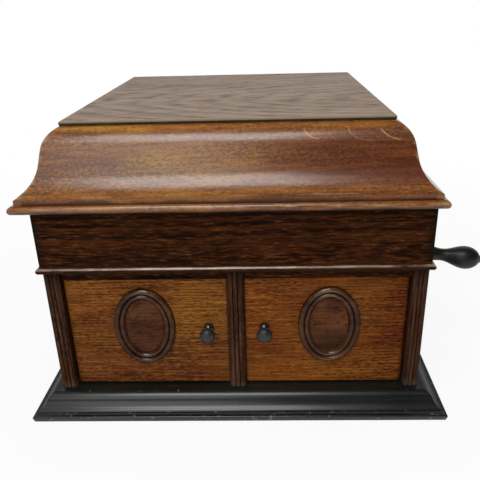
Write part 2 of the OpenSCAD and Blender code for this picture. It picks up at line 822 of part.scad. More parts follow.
// Turned knob: a ball collar, a thin neck and a mushroom head
module knob(side) {
    r = knob_d / 2;
    color("#16140f")
        translate([side * knob_x, door_y, plinth_h + knob_up]) rotate([90, 0, 0])
            rotate_extrude() polygon(concat(
                [[0, 0]], arc([0, 4.6], 5.6, -55, 52, 6), [[3.4, knob_l - 17.5], [3.4, knob_l - 16]],
                arc([r - 3, knob_l - 9], 3, -62, 40, 5), [[r - 3.4, knob_l - 3.6], [r - 6, knob_l - 1]],
                [[0, knob_l]]));
}

module door_left() { door(-1); }

module door_right() { door(1); }

module oval_ring_left() { oval_ring(-1); }

module oval_ring_right() { oval_ring(1); }

module oval_panel_left() { oval_panel(-1); }

module oval_panel_right() { oval_panel(1); }

module knob_left() { knob(-1); }

module knob_right() { knob(1); }

// Crank: one bent steel rod, from the winding pinion through the wall to the handle's end
bend_a = 12;
bend_b = 10;
arm_x = half_frieze + crank_reach;
pinion_l = 7;
pinion_x = barrel_c[0] + crown_r - 3.5;
nose_r = 2.5;
rod_in = pinion_x + pinion_l;
arm_l = crank_throw - bend_b * cos(crank_splay);
handle_x = arm_x + bend_b * (1 - sin(crank_splay));
grip_bore = 3.5;
// Heights on the handle: middle of the neck, widest part of the bulb, flat end of the wood
neck_z = 18;
bulb_z = 47.5;
grip_round = 72;
grip_end = bulb_z + (handle_l - bulb_z) * sin(grip_round);
module on_crank() {
    translate([0, crank_y, crank_z]) rotate([180 + crank_down, 0, 0]) children();
}

// Frame of the handle: +Z runs out along its spindle from the handle's foot
module on_handle() {
    on_crank() translate([handle_x, crank_throw, 0]) rotate([0, 0, crank_splay]) rotate([0, 90, 0]) children();
}

module crank_rod_bent() {
    r = crank_rod / 2;
    color("#8f9094") {
        on_crank() {
            translate([pinion_x - 1.5, 0, 0]) rotate([0, 90, 0]) cylinder(r = nose_r, h = pinion_l + 3);
            translate([rod_in, 0, 0]) rotate([0, 90, 0]) cylinder(r = r, h = arm_x - bend_a - rod_in);
            translate([arm_x - bend_a, bend_a, 0]) rotate([0, 0, -90])
                rotate_extrude(angle = 90) translate([bend_a, 0]) circle(r = r);
            translate([arm_x, bend_a, 0]) rotate([-90, 0, 0]) cylinder(r = r, h = arm_l - bend_a);
            translate([arm_x + bend_b, arm_l, 0]) rotate([0, 0, 180])
                rotate_extrude(angle = crank_splay - 90) translate([bend_b, 0]) circle(r = r);
        }
        on_handle() translate([0, 0, -1]) cylinder(r = grip_bore - run_fit, h = grip_end + 2.3);
        on_handle() translate([0, 0, grip_end + 0.3]) cylinder(r = 4.6, h = 1.5);
    }
}

// Wooden grip with a slim neck and a full bulb
module crank_handle() {
    r = handle_d / 2;
    neck_r = handle_neck / 2;
    foot_r = 9.3;
    foot_z = 4.4;
    color("#1a1613") on_handle() difference() {
        rotate_extrude() polygon(concat(
            [[0, foot_z]],
            [for (i = [0:4]) [ease(foot_r, neck_r, i / 4), foot_z + (neck_z - foot_z) * i / 4]],
            [for (i = [1:8]) [ease(neck_r, r, i / 8), neck_z + (bulb_z - neck_z) * i / 8]],
            [for (a = [12:12:grip_round]) [r * cos(a), bulb_z + (handle_l - bulb_z) * sin(a)]],
            [[0, grip_end]]));
        translate([0, 0, -1]) cylinder(r = grip_bore, h = grip_end + 2);
    }
}

module handle_ferrule() {
    color("#77787c") on_handle() translate([0, 0, 0.3]) difference() {
        cylinder(r1 = 8, r2 = 9.4, h = 4);
        translate([0, 0, -1]) cylinder(r = grip_bore, h = 6);
    }
}

module drive_pinion() {
    color("#b8963f") translate([pinion_x, crank_y, crank_z]) rotate([0, 90, 0])
        rotate([0, 0, 180 / drive_n]) difference() {
            linear_extrude(pinion_l) gear(drive_n, drive_m, 0.5);
            translate([0, 0, -1]) cylinder(r = nose_r + 0.1, h = pinion_l + 2);
        }
}

// Turntable
module turntable_platter() {
    z = platter_z - felt_t;
    color("#5c5f63") translate([turn_c[0], turn_c[1], 0]) difference() {
        union() {
            translate([0, 0, z - rim_h]) difference() {
                cylinder(r = platter_r, h = rim_h);
                translate([0, 0, -1]) cylinder(r = platter_r - 3, h = rim_h - 1);
            }
            translate([0, 0, z - rim_h]) cylinder(r = 16, h = rim_h - 1);
        }
        translate([0, 0, z - rim_h - 1]) cylinder(r = shaft_r + 0.02, h = rim_h + 2);
    }
}

module turntable_felt() {
    color("#2f5a3a") translate([turn_c[0], turn_c[1], platter_z - felt_t])
        pipe(platter_r - 2, shaft_r + 0.2, felt_t);
}

// Spindle from the motor's foot up through the turntable, with its leaf pinion
module record_spindle() {
    color("#a9abad") translate([turn_c[0], turn_c[1], 0]) {
        translate([0, 0, motor_foot]) cylinder(r = shaft_r, h = platter_z - motor_foot);
        translate([0, 0, platter_z - e]) cylinder(r = spindle_r, h = pin_up + e);
        translate([0, 0, platter_z + pin_up]) cylinder(r1 = spindle_r, r2 = spindle_r - 1.5, h = 2);
        translate([0, 0, motor_foot + plate_t + 0.5]) rotate([0, 0, step_angle(mid_c, turn_c, leaf_n)])
            difference() {
                linear_extrude(6) gear(leaf_n, wheel_m);
                translate([0, 0, -1]) cylinder(r = shaft_r - 1, h = 8);
            }
    }
}

// Fibre wheel on the spindle that drives the governor's worm
module worm_wheel() {
    lead = atan(worm_starts * worm_m / 2 / worm_r);
    face = 5;
    turn = face * tan(lead) / (worm_m * worm_n / 2) * 180 / PI;
    color("#8a4a2a") translate([turn_c[0], turn_c[1], worm_z - face / 2]) rotate([0, 0, 180 - turn / 2])
        difference() {
            linear_extrude(face, twist = -turn, slices = 3) gear(worm_n, worm_m, 0.5);
            translate([0, 0, -1]) cylinder(r = shaft_r + 0.02, h = face + 2);
        }
}

// Turn that puts a gap of an n-toothed gear at b in line with a tooth of the gear at a
function step_angle(a, b, n) = atan2((a - b)[1], (a - b)[0]) + 180 / n;
function face_angle(a, b) = atan2((b - a)[1], (b - a)[0]);

module spring_barrel() {
    color("#8a8c90") translate([barrel_c[0], barrel_c[1], 0]) {
        difference() {
            translate([0, 0, barrel_z]) cylinder(r = barrel_d / 2, h = barrel_h);
            translate([0, 0, barrel_z - 1]) cylinder(r = arbor_r + run_fit, h = barrel_h + 2);
        }
        translate([0, 0, great_z]) rotate([0, 0, face_angle(barrel_c, mid_c)]) difference() {
            linear_extrude(5) gear(great_n, great_m);
            translate([0, 0, -1]) cylinder(r = arbor_r + run_fit, h = 7);
        }
    }
}

// Arbor inside the barrel, with the crown wheel that the crank's pinion drives
module winding_arbor() {
    tip = crank_z - drive_r + 0.8 * drive_m;
    root = tip - 2 * drive_m;
    color("#b8963f") translate([barrel_c[0], barrel_c[1], 0]) {
        translate([0, 0, motor_foot]) cylinder(r = arbor_r, h = root - motor_foot);
        translate([0, 0, barrel_z + barrel_h + 1]) cylinder(r = crown_r + 3, h = root - barrel_z - barrel_h - 1);
        for (i = [0:crown_n - 1]) rotate([0, 0, 360 * i / crown_n])
            translate([crown_r - 2.5, 0, root - e]) rotate([90, 0, 90]) linear_extrude(5)
                polygon([[-0.7, 0], [0.7, 0], [0.3, tip - root + e], [-0.3, tip - root + e]]);
    }
}

module middle_arbor() {
    color("#b8963f") translate([mid_c[0], mid_c[1], 0]) {
        translate([0, 0, motor_foot]) cylinder(r = stem_r, h = board_foot - 1 - motor_foot);
        translate([0, 0, great_z - 0.5]) rotate([0, 0, step_angle(barrel_c, mid_c, leaf_n)])
            linear_extrude(5) gear(leaf_n, great_m);
        translate([0, 0, motor_foot + plate_t + 1]) rotate([0, 0, face_angle(mid_c, turn_c)])
            linear_extrude(4) gear(wheel_n, wheel_m);
    }
}

// Section across the three-start worm: one lobe for each start
module worm_section() {
    px = PI * worm_m;
    foot = px / 4 + 1.3 * worm_m * tan(press_a) - 0.25;
    tip = px / 4 - 0.8 * worm_m * tan(press_a) - 0.25;
    polygon([for (k = [0:worm_starts - 1], i = [-3, -2, -1, 1, 2, 3]) let (
        t = (3 - abs(i)) / 2,
        r = worm_r - 1.3 * worm_m + 2.1 * worm_m * t,
        a = 360 / worm_starts * (k + sign(i) * (foot + (tip - foot) * t) / px))
        [r * cos(a), r * sin(a)]]);
}

// Governor: a worm shaft, two collars and three weights on bowed leaf springs
module governor() {
    y_mid = turn_c[1];
    y_foot = y_mid + 14;
    span = gov_y1 - 8 - y_foot;
    lead = PI * worm_m * worm_starts;
    worm_l = 14;
    color("#9fa1a4") translate([gov_x, 0, worm_z]) {
        translate([0, gov_y1 + 2, 0]) rotate([90, 0, 0]) cylinder(r = gov_axle, h = gov_y1 - gov_y0 + 4);
        translate([0, y_mid - worm_l / 2, 0]) rotate([-90, 0, 0]) difference() {
            rotate([0, 0, -180 * worm_l / lead - 180 / worm_starts])
                linear_extrude(worm_l, twist = -360 * worm_l / lead, slices = 24) worm_section();
            translate([0, 0, -1]) cylinder(r = gov_axle + 0.02, h = worm_l + 2);
        }
        for (y = [y_foot, gov_y1 - 8])
            translate([0, y + 3, 0]) rotate([90, 0, 0]) cylinder(r = 6, h = 6);
        translate([0, gov_y1 - 3.5, 0]) rotate([90, 0, 0]) cylinder(r = 11, h = 2);
        for (k = [0:2]) rotate([0, 120 * k, 0]) {
            translate([-3, 0, 0]) rotate([90, 0, 90]) linear_extrude(6) polygon(concat(
                [for (i = [0:8]) [y_foot + span * i / 8, 4 + 10 * sin(180 * i / 8)]],
                [for (i = [8:-1:0]) [y_foot + span * i / 8, 4.8 + 10 * sin(180 * i / 8)]]));
            translate([0, y_foot + span / 2, 13.5]) cylinder(r = 5.5, h = 5);
        }
    }
}

// Plates and pillars of the motor, with the governor's two bearings
module motor_frame() {
    weight_reach = 26;
    x0 = gov_x - weight_reach;
    x1 = barrel_c[0] + barrel_d / 2 + 8;
    y0 = min(gov_y0 - 6, crank_y - barrel_d / 2 - 8);
    y1 = max(gov_y1 + 6, crank_y + barrel_d / 2 + 8);
    color("#4c4f52") difference() {
        union() {
            block(x0, x1, y0, y1, motor_foot, motor_foot + plate_t);
            block(x0, x1, y0, y1, board_foot - plate_t, board_foot);
            for (x = [x0 + 6, x1 - 6], y = [y0 + 6, y1 - 6])
                translate([x, y, motor_foot + plate_t - e]) cylinder(r = 5, h = board_foot - motor_foot - 2 * plate_t + 2 * e);
            for (y = [gov_y0, gov_y1])
                block(gov_x - 6, gov_x + 6, y - 2, y + 2, motor_foot + plate_t - e, worm_z + 7);
        }
        translate([turn_c[0], turn_c[1], motor_foot - 1]) cylinder(r = shaft_r + run_fit, h = 100);
        translate([barrel_c[0], barrel_c[1], motor_foot - 1]) cylinder(r = arbor_r + run_fit, h = 20);
        translate([barrel_c[0], barrel_c[1], board_foot - plate_t - 1]) cylinder(r = crown_r + 8, h = 20);
        translate([mid_c[0], mid_c[1], motor_foot - 1]) cylinder(r = stem_r + run_fit, h = 100);
        translate([gov_x, gov_y1 + 3, worm_z]) rotate([90, 0, 0])
            cylinder(r = gov_axle + run_fit, h = gov_y1 - gov_y0 + 6);
    }
}

// Tone arm, drawn pointing to the front and turned out to where it rests
module on_arm() {
    translate([arm_c[0], arm_c[1], 0]) rotate([0, 0, arm_park]) children();
}
arm_bend = 22;
crook_l = 36;
taper_l = arm_reach - crook_l;
module tonearm_tube() {
    collar = board_top + socket_h + 0.3;
    taper = taper_l - arm_bend;
    color("#c8c8c4") on_arm() {
        rotate_extrude() polygon([
            [10, board_top + 4], [socket_r, board_top + 4], [socket_r, collar],
            [18, collar], [18, arm_z - arm_bend], [10, arm_z - arm_bend]]);
        translate([0, 0, arm_z - arm_bend]) rotate([0, 0, -90]) bent_pipe(arm_bend, 90, socket_r, 10);
        translate([0, -arm_bend, arm_z]) rotate([90, 0, 0]) rotate_extrude() polygon([
            [10, 0], [socket_r, 0], [8, taper], [7, taper], [7, taper + 12], [6, taper + 12], [6, taper]]);
    }
}

// Crook that turns on the end of the tube and carries the sound box beside it
crook_bend = 13;
module tonearm_crook() {
    color("#c8c8c4") on_arm() translate([0, -taper_l - 0.3, arm_z]) rotate([90, 0, 0]) {
        pipe(9.5, 7 + run_fit, 13);
        translate([0, 0, 13]) pipe(9, 6, 5);
        translate([0, 0, 18]) rotate([0, 0, 180]) bent_pipe(crook_bend, 90, 8, 6);
        translate([-crook_bend, 0, 18 + crook_bend]) rotate([0, -90, 0]) pipe(8, 6, box_side - box_t / 2 - crook_bend);
    }
}

module on_box() {
    on_arm() translate([-box_side, -taper_l - 18.3 - crook_bend, arm_z]) children();
}

// Sound box: a round drum with a front ring and the diaphragm behind it
module sound_box() {
    r = box_d / 2;
    color("#c8c8c4") on_box() rotate([0, -90, 0]) translate([0, 0, -box_t / 2]) {
        difference() {
            cylinder(r = r, h = box_t);
            translate([0, 0, box_t - 4]) cylinder(r = r - 6, h = 5);
        }
        translate([0, 0, box_t - 4 - e]) cylinder(r = r - 10, h = 0.8);
        translate([0, 0, box_t - 4 - e]) cylinder(r = 3, h = 2.4);
    }
}

// Needle in its bar, from the sound box's foot to just above a record
module needle() {
    color("#d0d0cc") on_box() translate([-box_t / 2 + 2.5, 0, -box_d / 2 + e]) rotate([180, 0, 0]) {
        translate([0, 0, 0.3]) cylinder(r = 2.6, h = needle_l * 0.5);
        translate([0, 0, 0.3 + needle_l * 0.5 - e]) cylinder(r1 = 0.8, r2 = 0.2, h = needle_l * 0.5 - 0.3);
    }
}

// Brake beside the turntable: a flat lever on a post, with a pad at its tip
brake_c = turn_c + (platter_r + 14) * [cos(-27), sin(-27)];
brake_pin = 3;
module brake_lever() {
    color("#a8884c") translate([brake_c[0], brake_c[1], board_top + 0.3]) rotate([0, 0, 63]) {
        translate([0, 0, 1 - board_t]) cylinder(r = brake_pin, h = board_t);
        cylinder(r = 6, h = 7);
        translate([0, -4, 1]) cube([24, 8, 3]);
        translate([16, 2.5, 1]) cube([8, 7, 8]);
        translate([-26, -3, 1]) cube([26, 6, 3]);
        translate([-26, 0, 1]) cylinder(r = 4, h = 8);
    }
}

plinth();
base_board();
side_left();
side_right();
back_panel();
corner_stile_left();
corner_stile_right();
centre_stile();
door_head_rail();
frieze_front();
frieze_left();
frieze_right();
frieze_back();
waist_bead();
motor_board();
horn_floor();
horn_roof();
horn_cheeks();
horn_throat();
tonearm_bracket();
crank_bush();
needle_cups();
speed_dial();
stay_rail();
motor_frame();
case_hinge_leaves();
lid_top_board();
lid_moulding_front();
lid_moulding_left();
lid_moulding_right();
lid_back_board();
lid_hinge_leaves();
stay_bracket();
lid_stay();
door_left();
oval_ring_left();
oval_panel_left();
knob_left();
door_right();
oval_ring_right();
oval_panel_right();
knob_right();
crank_rod_bent();
drive_pinion();
handle_ferrule();
crank_handle();
turntable_platter();
turntable_felt();
record_spindle();
worm_wheel();
spring_barrel();
winding_arbor();
middle_arbor();
governor();
tonearm_tube();
tonearm_crook();
sound_box();
needle();
brake_lever();
speed_lever();
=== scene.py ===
# Tabletop gramophone in stained oak, on a white sweep of paper under soft studio light.
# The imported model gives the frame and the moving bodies. The mouldings, posts, ovals, knobs and
# the crank's grip get finer pieces here, and every other node keeps its shape under a new finish.
import bpy, bmesh, json, math
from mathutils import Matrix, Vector, noise


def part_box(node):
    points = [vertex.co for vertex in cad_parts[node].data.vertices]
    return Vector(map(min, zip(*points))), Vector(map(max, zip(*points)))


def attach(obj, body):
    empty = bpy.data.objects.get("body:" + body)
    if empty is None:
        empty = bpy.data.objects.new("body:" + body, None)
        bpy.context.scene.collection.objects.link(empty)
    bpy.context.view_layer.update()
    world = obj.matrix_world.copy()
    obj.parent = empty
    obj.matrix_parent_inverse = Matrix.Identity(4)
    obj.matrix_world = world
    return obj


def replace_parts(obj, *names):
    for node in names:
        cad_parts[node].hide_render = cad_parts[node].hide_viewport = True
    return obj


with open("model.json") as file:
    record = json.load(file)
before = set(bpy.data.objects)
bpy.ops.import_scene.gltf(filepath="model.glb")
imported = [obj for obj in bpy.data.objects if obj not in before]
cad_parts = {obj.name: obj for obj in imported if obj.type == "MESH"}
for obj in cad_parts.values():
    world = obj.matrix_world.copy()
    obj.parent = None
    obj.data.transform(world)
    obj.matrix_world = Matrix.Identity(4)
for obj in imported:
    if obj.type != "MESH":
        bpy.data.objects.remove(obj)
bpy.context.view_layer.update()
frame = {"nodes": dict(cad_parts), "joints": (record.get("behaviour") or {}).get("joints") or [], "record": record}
nodes = frame["nodes"]
print("frame loaded,", len(nodes), "nodes")


# camera, fitted to the photograph's corners
camera = {"place": (0.03498, -0.77353, 0.43458), "turn": (65.256, 1.3443, 1.3219),
          "focalPixels": 598.92, "framePixels": 480, "centreRight": 8.895, "centreDown": 35.909,
          "sensor": 36, "nearest": 0.05}


def makeCamera():
    data = bpy.data.cameras.new("photoCamera")
    data.sensor_width = camera["sensor"]
    data.lens = camera["focalPixels"] / camera["framePixels"] * camera["sensor"]
    data.shift_x = -camera["centreRight"] / camera["framePixels"]
    data.shift_y = camera["centreDown"] / camera["framePixels"]
    data.clip_start = camera["nearest"]
    eye = bpy.data.objects.new("photoCamera", data)
    eye.location = camera["place"]
    eye.rotation_euler = [math.radians(angle) for angle in camera["turn"]]
    bpy.context.scene.collection.objects.link(eye)
    bpy.context.scene.camera = eye


makeCamera()
print("camera placed")


# small helpers for node trees
def newMaterial(name):
    material = bpy.data.materials.new(name)
    material.use_nodes = True
    material.node_tree.nodes.clear()
    return material, material.node_tree


def put(tree, kind, feeds=None, **settings):
    node = tree.nodes.new("ShaderNode" + kind)
    for key, value in settings.items():
        setattr(node, key, value)
    for key, value in (feeds or {}).items():
        if isinstance(value, bpy.types.NodeSocket):
            tree.links.new(value, node.inputs[key])
        else:
            node.inputs[key].default_value = value
    return node


def calc(tree, how, a, b=0.0, c=0.0, clamp=False):
    return put(tree, "Math", {0: a, 1: b, 2: c}, operation=how, use_clamp=clamp).outputs[0]


def lengthOf(tree, vector):
    return put(tree, "VectorMath", {0: vector}, operation="LENGTH").outputs["Value"]


def stretch(tree, vector, scale, move=(0, 0, 0), turn=(0, 0, 0)):
    return put(tree, "Mapping", {"Vector": vector, "Location": move, "Rotation": turn,
                                 "Scale": scale}).outputs[0]


def grainNoise(tree, vector, scale, detail=2.0, rough=0.5, warp=0.0):
    return put(tree, "TexNoise", {"Vector": stretch(tree, vector, scale), "Scale": 1.0,
                                  "Detail": detail, "Roughness": rough,
                                  "Distortion": warp}).outputs["Fac"]


def ramp(tree, value, stops):
    node = put(tree, "ValToRGB", {"Fac": value})
    bar = node.color_ramp
    while len(bar.elements) < len(stops):
        bar.elements.new(0.5)
    for element, (at, tone) in zip(bar.elements, stops):
        element.position = at
        element.color = (tone, tone, tone, 1) if isinstance(tone, (int, float)) else (*tone, 1)
    return node.outputs["Color"]


def blendColour(tree, amount, a, b, how="MIX"):
    node = put(tree, "Mix", data_type="RGBA", blend_type=how)
    for key, value in (("Factor", amount), (6, a), (7, b)):
        if isinstance(value, bpy.types.NodeSocket):
            tree.links.new(value, node.inputs[key])
        else:
            tone = value if isinstance(value, (int, float)) else (*value, 1)
            node.inputs[key].default_value = tone
    return node.outputs[2]


def mapped(tree, value, start=0.0, end=1.0, low=0.0, high=1.0, kind="LINEAR"):
    return put(tree, "MapRange", {"Value": value, "From Min": start, "From Max": end,
                                  "To Min": low, "To Max": high},
               interpolation_type=kind).outputs[0]


def softBox(tree, place, low, high, width):
    # 0 at the edges of a box and 1 further in than width, which may differ by axis
    split = put(tree, "SeparateXYZ", {"Vector": place})
    result = None
    for axis in range(3):
        reach = width[axis] if isinstance(width, tuple) else width
        for edge, sign in ((low[axis], 1), (high[axis], -1)):
            if edge is None:
                continue
            past = calc(tree, "SUBTRACT", split.outputs[axis], edge)
            near = mapped(tree, calc(tree, "MULTIPLY", past, sign / reach), kind="SMOOTHSTEP")
            result = near if result is None else calc(tree, "MULTIPLY", result, near)
    return result


def finish(tree, colour, rough, height, bump, depth, coatBump=0.0, coat=0.0, **fixed):
    shader = put(tree, "BsdfPrincipled", {"Base Color": colour, "Roughness": rough,
                                          "Coat Weight": coat})
    for key, value in fixed.items():
        shader.inputs[key.replace("_", " ")].default_value = value
    for strength, socket in ((bump, "Normal"), (coatBump, "Coat Normal")):
        if strength:
            normal = put(tree, "Bump", {"Height": height, "Strength": strength, "Distance": depth})
            tree.links.new(normal.outputs[0], shader.inputs[socket])
    out = put(tree, "OutputMaterial")
    tree.links.new(shader.outputs[0], out.inputs[0])


# oak, cut from a trunk whose rings run along the grain's axis
plainOak = {
    "grain": "x", "heart": (0.0, 0.05, -0.06), "tilt": (0.0, 0.03, 0.04), "ring": 0.0042,
    "wander": 0.012, "ripple": 0.5, "figure": 0.5, "streak": (14, 330, 330),
    "dark": (0.08, 0.035, 0.014), "mid": (0.17, 0.08, 0.032), "light": (0.26, 0.135, 0.055),
    "pore": (0.03, 0.014, 0.007), "pores": 0.55, "poreSize": (150, 620, 620), "thick": None,
    "glint": (0.30, 0.16, 0.07), "glints": 0.25, "patch": (0.20, 0.13, 0.03), "patches": 0.3,
    "blush": (0.12, 0.03, 0.01), "blushes": 0.0, "fleck": 0.0, "arcs": (),
    "fleckTone": (0.50, 0.29, 0.09), "shades": (), "grimeAndShade": (0.02, 0.010, 0.005),
    "bareAndHighlight": (0.30, 0.19, 0.10), "rough": 0.48, "poreRough": 0.2, "shine": 0.5, "coat": 0.6,
    "polish": 0.0, "coatRough": 0.24, "bump": 0.25, "bumpDeep": 0.0003, "coatBump": 0.05}
# patterns in the oak: cells per metre by axis, detail, roughness and warp
oakPattern = {
    "wander": ((2.2, 9, 9), 2.0, 0.5), "ripple": ((16, 60, 60), 3.0, 0.55),
    "cloud": ((6, 16, 16), 3.0, 0.55), "flush": ((9, 26, 21), 2.0, 0.5),
    "clump": ((14, 45, 45), 2.0, 0.5), "ray": ((26, 60, 34), 3.0, 0.6, 2.2),
    "rayField": ((3, 5, 5), 1.0, 0.5), "ragged": ((30, 90, 90), 4.0, 0.6)}
# how strongly each shows at a pattern's value
oakRamp = {
    "ring": [(0.0, 0.2), (0.1, 0.0), (0.32, 0.55), (0.8, 0.95), (1.0, 0.2)],
    "streak": [(0.34, 0.0), (0.66, 1.0)], "cloud": [(0.46, 0.0), (0.66, 1.0)],
    "pore": [(0.62, 0.0), (0.72, 1.0)], "ray": [(0.6, 0.0), (0.65, 1.0), (0.69, 0.0)],
    "rayField": [(0.46, 0.0), (0.6, 1.0)], "arc": [(0.0, 0.75), (0.045, 0.0)],
    "arcGaps": [(0.4, 0.25), (0.6, 1.0)], "rubAndHighlight": [(0.72, 0.0), (0.95, 0.8)],
    "dirtAndShade": [(0.72, 0.0), (1.0, 0.9)]}
# a piece's worn value lays bare wood above 0 and grime below; on the lid's quirk and torus and on the waist bead
# the same values also lay a painted highlight above 0 and painted shade below
oakWear = {"rubAndHighlight": 0.4, "dirtAndShade": -0.7}
# shares of one pattern in another
oakMix = {"clump": 0.3, "ringInPores": -0.08, "unevenEdge": 0.6, "arcEdge": 0.004,
          "cloudRough": 0.06, "streakHeight": 0.3}


def growthRings(tree, along, look):
    trunk = stretch(tree, along, (1, 1, 1), move=look["heart"], turn=look["tilt"])
    spread = put(tree, "VectorMath", {0: trunk, 1: (0, 1, 1)}, operation="MULTIPLY").outputs[0]
    reach = lengthOf(tree, spread)
    wander = grainNoise(tree, along, *oakPattern["wander"])
    reach = calc(tree, "MULTIPLY_ADD", wander, look["wander"], reach)
    ripple = grainNoise(tree, along, *oakPattern["ripple"])
    reach = calc(tree, "MULTIPLY_ADD", ripple, look["ring"] * look["ripple"], reach)
    phase = calc(tree, "FRACT", calc(tree, "DIVIDE", reach, look["ring"]))
    return ramp(tree, phase, oakRamp["ring"])


def layRays(tree, along, look, colour):
    # wavy ray flecks, in some places only
    band = ramp(tree, grainNoise(tree, along, *oakPattern["ray"]), oakRamp["ray"])
    where = ramp(tree, grainNoise(tree, along, *oakPattern["rayField"]), oakRamp["rayField"])
    band = calc(tree, "MULTIPLY", calc(tree, "MULTIPLY", band, where), look["fleck"])
    return blendColour(tree, band, colour, look["glint"])


def layShades(tree, place, ragged, shades, colour):
    # a shade covers what lies outside its box, or within it: with a tone, or with a tint that
    # lets the grain show
    dullness = None
    for shade in shades:
        inside = softBox(tree, place, shade["low"], shade["high"], shade["width"])
        if shade.get("ragged", True):
            more = oakMix["unevenEdge"]
            uneven = calc(tree, "MULTIPLY_ADD", ragged, more, -more / 2)
            inside = calc(tree, "ADD", inside, uneven, clamp=True)
        outer, inner = (0.0, shade["amount"]) if shade.get("within") else (shade["amount"], 0.0)
        cover = mapped(tree, inside, low=outer, high=inner)
        if "tint" in shade:
            tone = blendColour(tree, 1.0, colour, shade["tint"], "MULTIPLY")
        else:
            tone = shade["tone"]
        colour = blendColour(tree, cover, colour, tone)
        if shade.get("dull"):
            dullness = cover
    return colour, dullness


def layArcs(tree, place, ragged, look, colour):
    # single pale ray flecks, each part of an ellipse across the face
    for x, z, wide, tall, low, high in look["arcs"]:
        spot = stretch(tree, place, (1 / wide, 0, 1 / tall), move=(-x / wide, 0, -z / tall))
        off = calc(tree, "ABSOLUTE", calc(tree, "SUBTRACT", lengthOf(tree, spot), 1.0))
        line = ramp(tree, off, oakRamp["arc"])
        line = calc(tree, "MULTIPLY", line, softBox(tree, place, low, high, oakMix["arcEdge"]))
        line = calc(tree, "MULTIPLY", line, ramp(tree, ragged, oakRamp["arcGaps"]))
        colour = blendColour(tree, line, colour, look["fleckTone"])
    return colour


def oakWood(name, **changes):
    look = dict(plainOak, **changes)
    material, tree = newMaterial(name)
    place = put(tree, "TexCoord").outputs["Object"]
    quarter = math.pi / 2
    turn = {"x": (0, 0, 0), "y": (0, 0, quarter), "z": (0, quarter, 0)}[look["grain"]]
    along = stretch(tree, place, (1, 1, 1), turn=turn)
    ringTone = growthRings(tree, along, look)
    streak = ramp(tree, grainNoise(tree, along, look["streak"], 5.0, 0.62), oakRamp["streak"])
    tone = blendColour(tree, look["figure"], streak, ringTone)
    colour = ramp(tree, tone, [(0.05, look["dark"]), (0.5, look["mid"]), (0.95, look["light"])])
    cloud = ramp(tree, grainNoise(tree, along, *oakPattern["cloud"]), oakRamp["cloud"])
    patches = calc(tree, "MULTIPLY", cloud, look["patches"])
    colour = blendColour(tree, patches, colour, look["patch"])
    if look["blushes"]:
        flush = grainNoise(tree, along, *oakPattern["flush"])
        flush = ramp(tree, flush, [(0.5, 0.0), (0.68, look["blushes"])])
        colour = blendColour(tree, flush, colour, look["blush"])
    # open pores lie thickest in the early wood, with pale dashes between them
    speck = grainNoise(tree, along, look["poreSize"], 3.0, 0.62)
    clump = grainNoise(tree, along, *oakPattern["clump"])
    bed = calc(tree, "MULTIPLY_ADD", clump, oakMix["clump"], speck)
    bed = calc(tree, "MULTIPLY_ADD", ringTone, oakMix["ringInPores"], bed)
    if look["thick"]:
        area = look["thick"]
        inside = softBox(tree, place, area["low"], area["high"], area["width"])
        bed = calc(tree, "MULTIPLY_ADD", inside, area["more"], bed)
    pores = ramp(tree, bed, oakRamp["pore"])
    colour = blendColour(tree, calc(tree, "MULTIPLY", pores, look["pores"]), colour, look["pore"])
    dashes = ramp(tree, speck, [(0.30, look["glints"]), (0.43, 0.0)])
    colour = blendColour(tree, dashes, colour, look["glint"])
    if look["fleck"]:
        colour = layRays(tree, along, look, colour)
    ragged = grainNoise(tree, along, *oakPattern["ragged"])
    colour, dullness = layShades(tree, place, ragged, look["shades"], colour)
    colour = layArcs(tree, place, ragged, look, colour)
    # handled edges are bare, corners that a cloth can't reach are dark; on the lid's quirk and torus and on the
    # waist bead the pale marks are also painted highlights and the dark ones painted shade
    wearAndLight = put(tree, "Attribute", attribute_name="wearAndLight").outputs["Fac"]
    rubAndHighlight = ramp(tree, calc(tree, "MULTIPLY_ADD", wearAndLight, oakWear["rubAndHighlight"], ragged), oakRamp["rubAndHighlight"])
    colour = blendColour(tree, rubAndHighlight, colour, look["bareAndHighlight"])
    dirtAndShade = ramp(tree, calc(tree, "MULTIPLY_ADD", wearAndLight, oakWear["dirtAndShade"], ragged), oakRamp["dirtAndShade"])
    colour = blendColour(tree, dirtAndShade, colour, look["grimeAndShade"])
    dim = oakMix["cloudRough"]
    rough = calc(tree, "MULTIPLY_ADD", cloud, dim, look["rough"] - dim / 2)
    rough = calc(tree, "MULTIPLY_ADD", pores, look["poreRough"], rough)
    if dullness is not None:
        rough = calc(tree, "ADD", rough, dullness, clamp=True)
    coat = look["coat"]
    if look["polish"]:
        coat = calc(tree, "MULTIPLY_ADD", wearAndLight, look["polish"], coat, clamp=True)
    ridge = calc(tree, "MULTIPLY", streak, oakMix["streakHeight"])
    height = calc(tree, "SUBTRACT", ridge, pores)
    finish(tree, colour, rough, height, look["bump"], look["bumpDeep"], look["coatBump"],
           coat=coat, Specular_IOR_Level=look["shine"], Coat_Roughness=look["coatRough"])
    return material


# black polish over wood, chipped where it is worn
plainBlack = {
    "base": (0.005, 0.0052, 0.0045), "dusty": (0.016, 0.0165, 0.014),
    "chip": (0.08, 0.075, 0.06), "chips": 0.3, "scratch": 0.0, "rough": 0.42, "coat": 0.1,
    "coatRough": 0.25, "shine": 0.4, "chipWear": 0.24, "bump": 0.16, "bumpDeep": 0.0003,
    "cloudRough": 0.18}
blackPattern = {
    "cloud": ((9, 9, 9), 4.0, 0.6), "fine": ((12, 420, 420), 3.0, 0.6),
    "ragged": ((150, 150, 150), 3.0, 0.65), "scratch": ((30, 900, 900), 2.0, 0.5, 0.4)}
blackRamp = {"fine": [(0.5, 0.0), (0.8, 0.35)], "chip": [(0.735, 0.0), (0.78, 1.0)]}


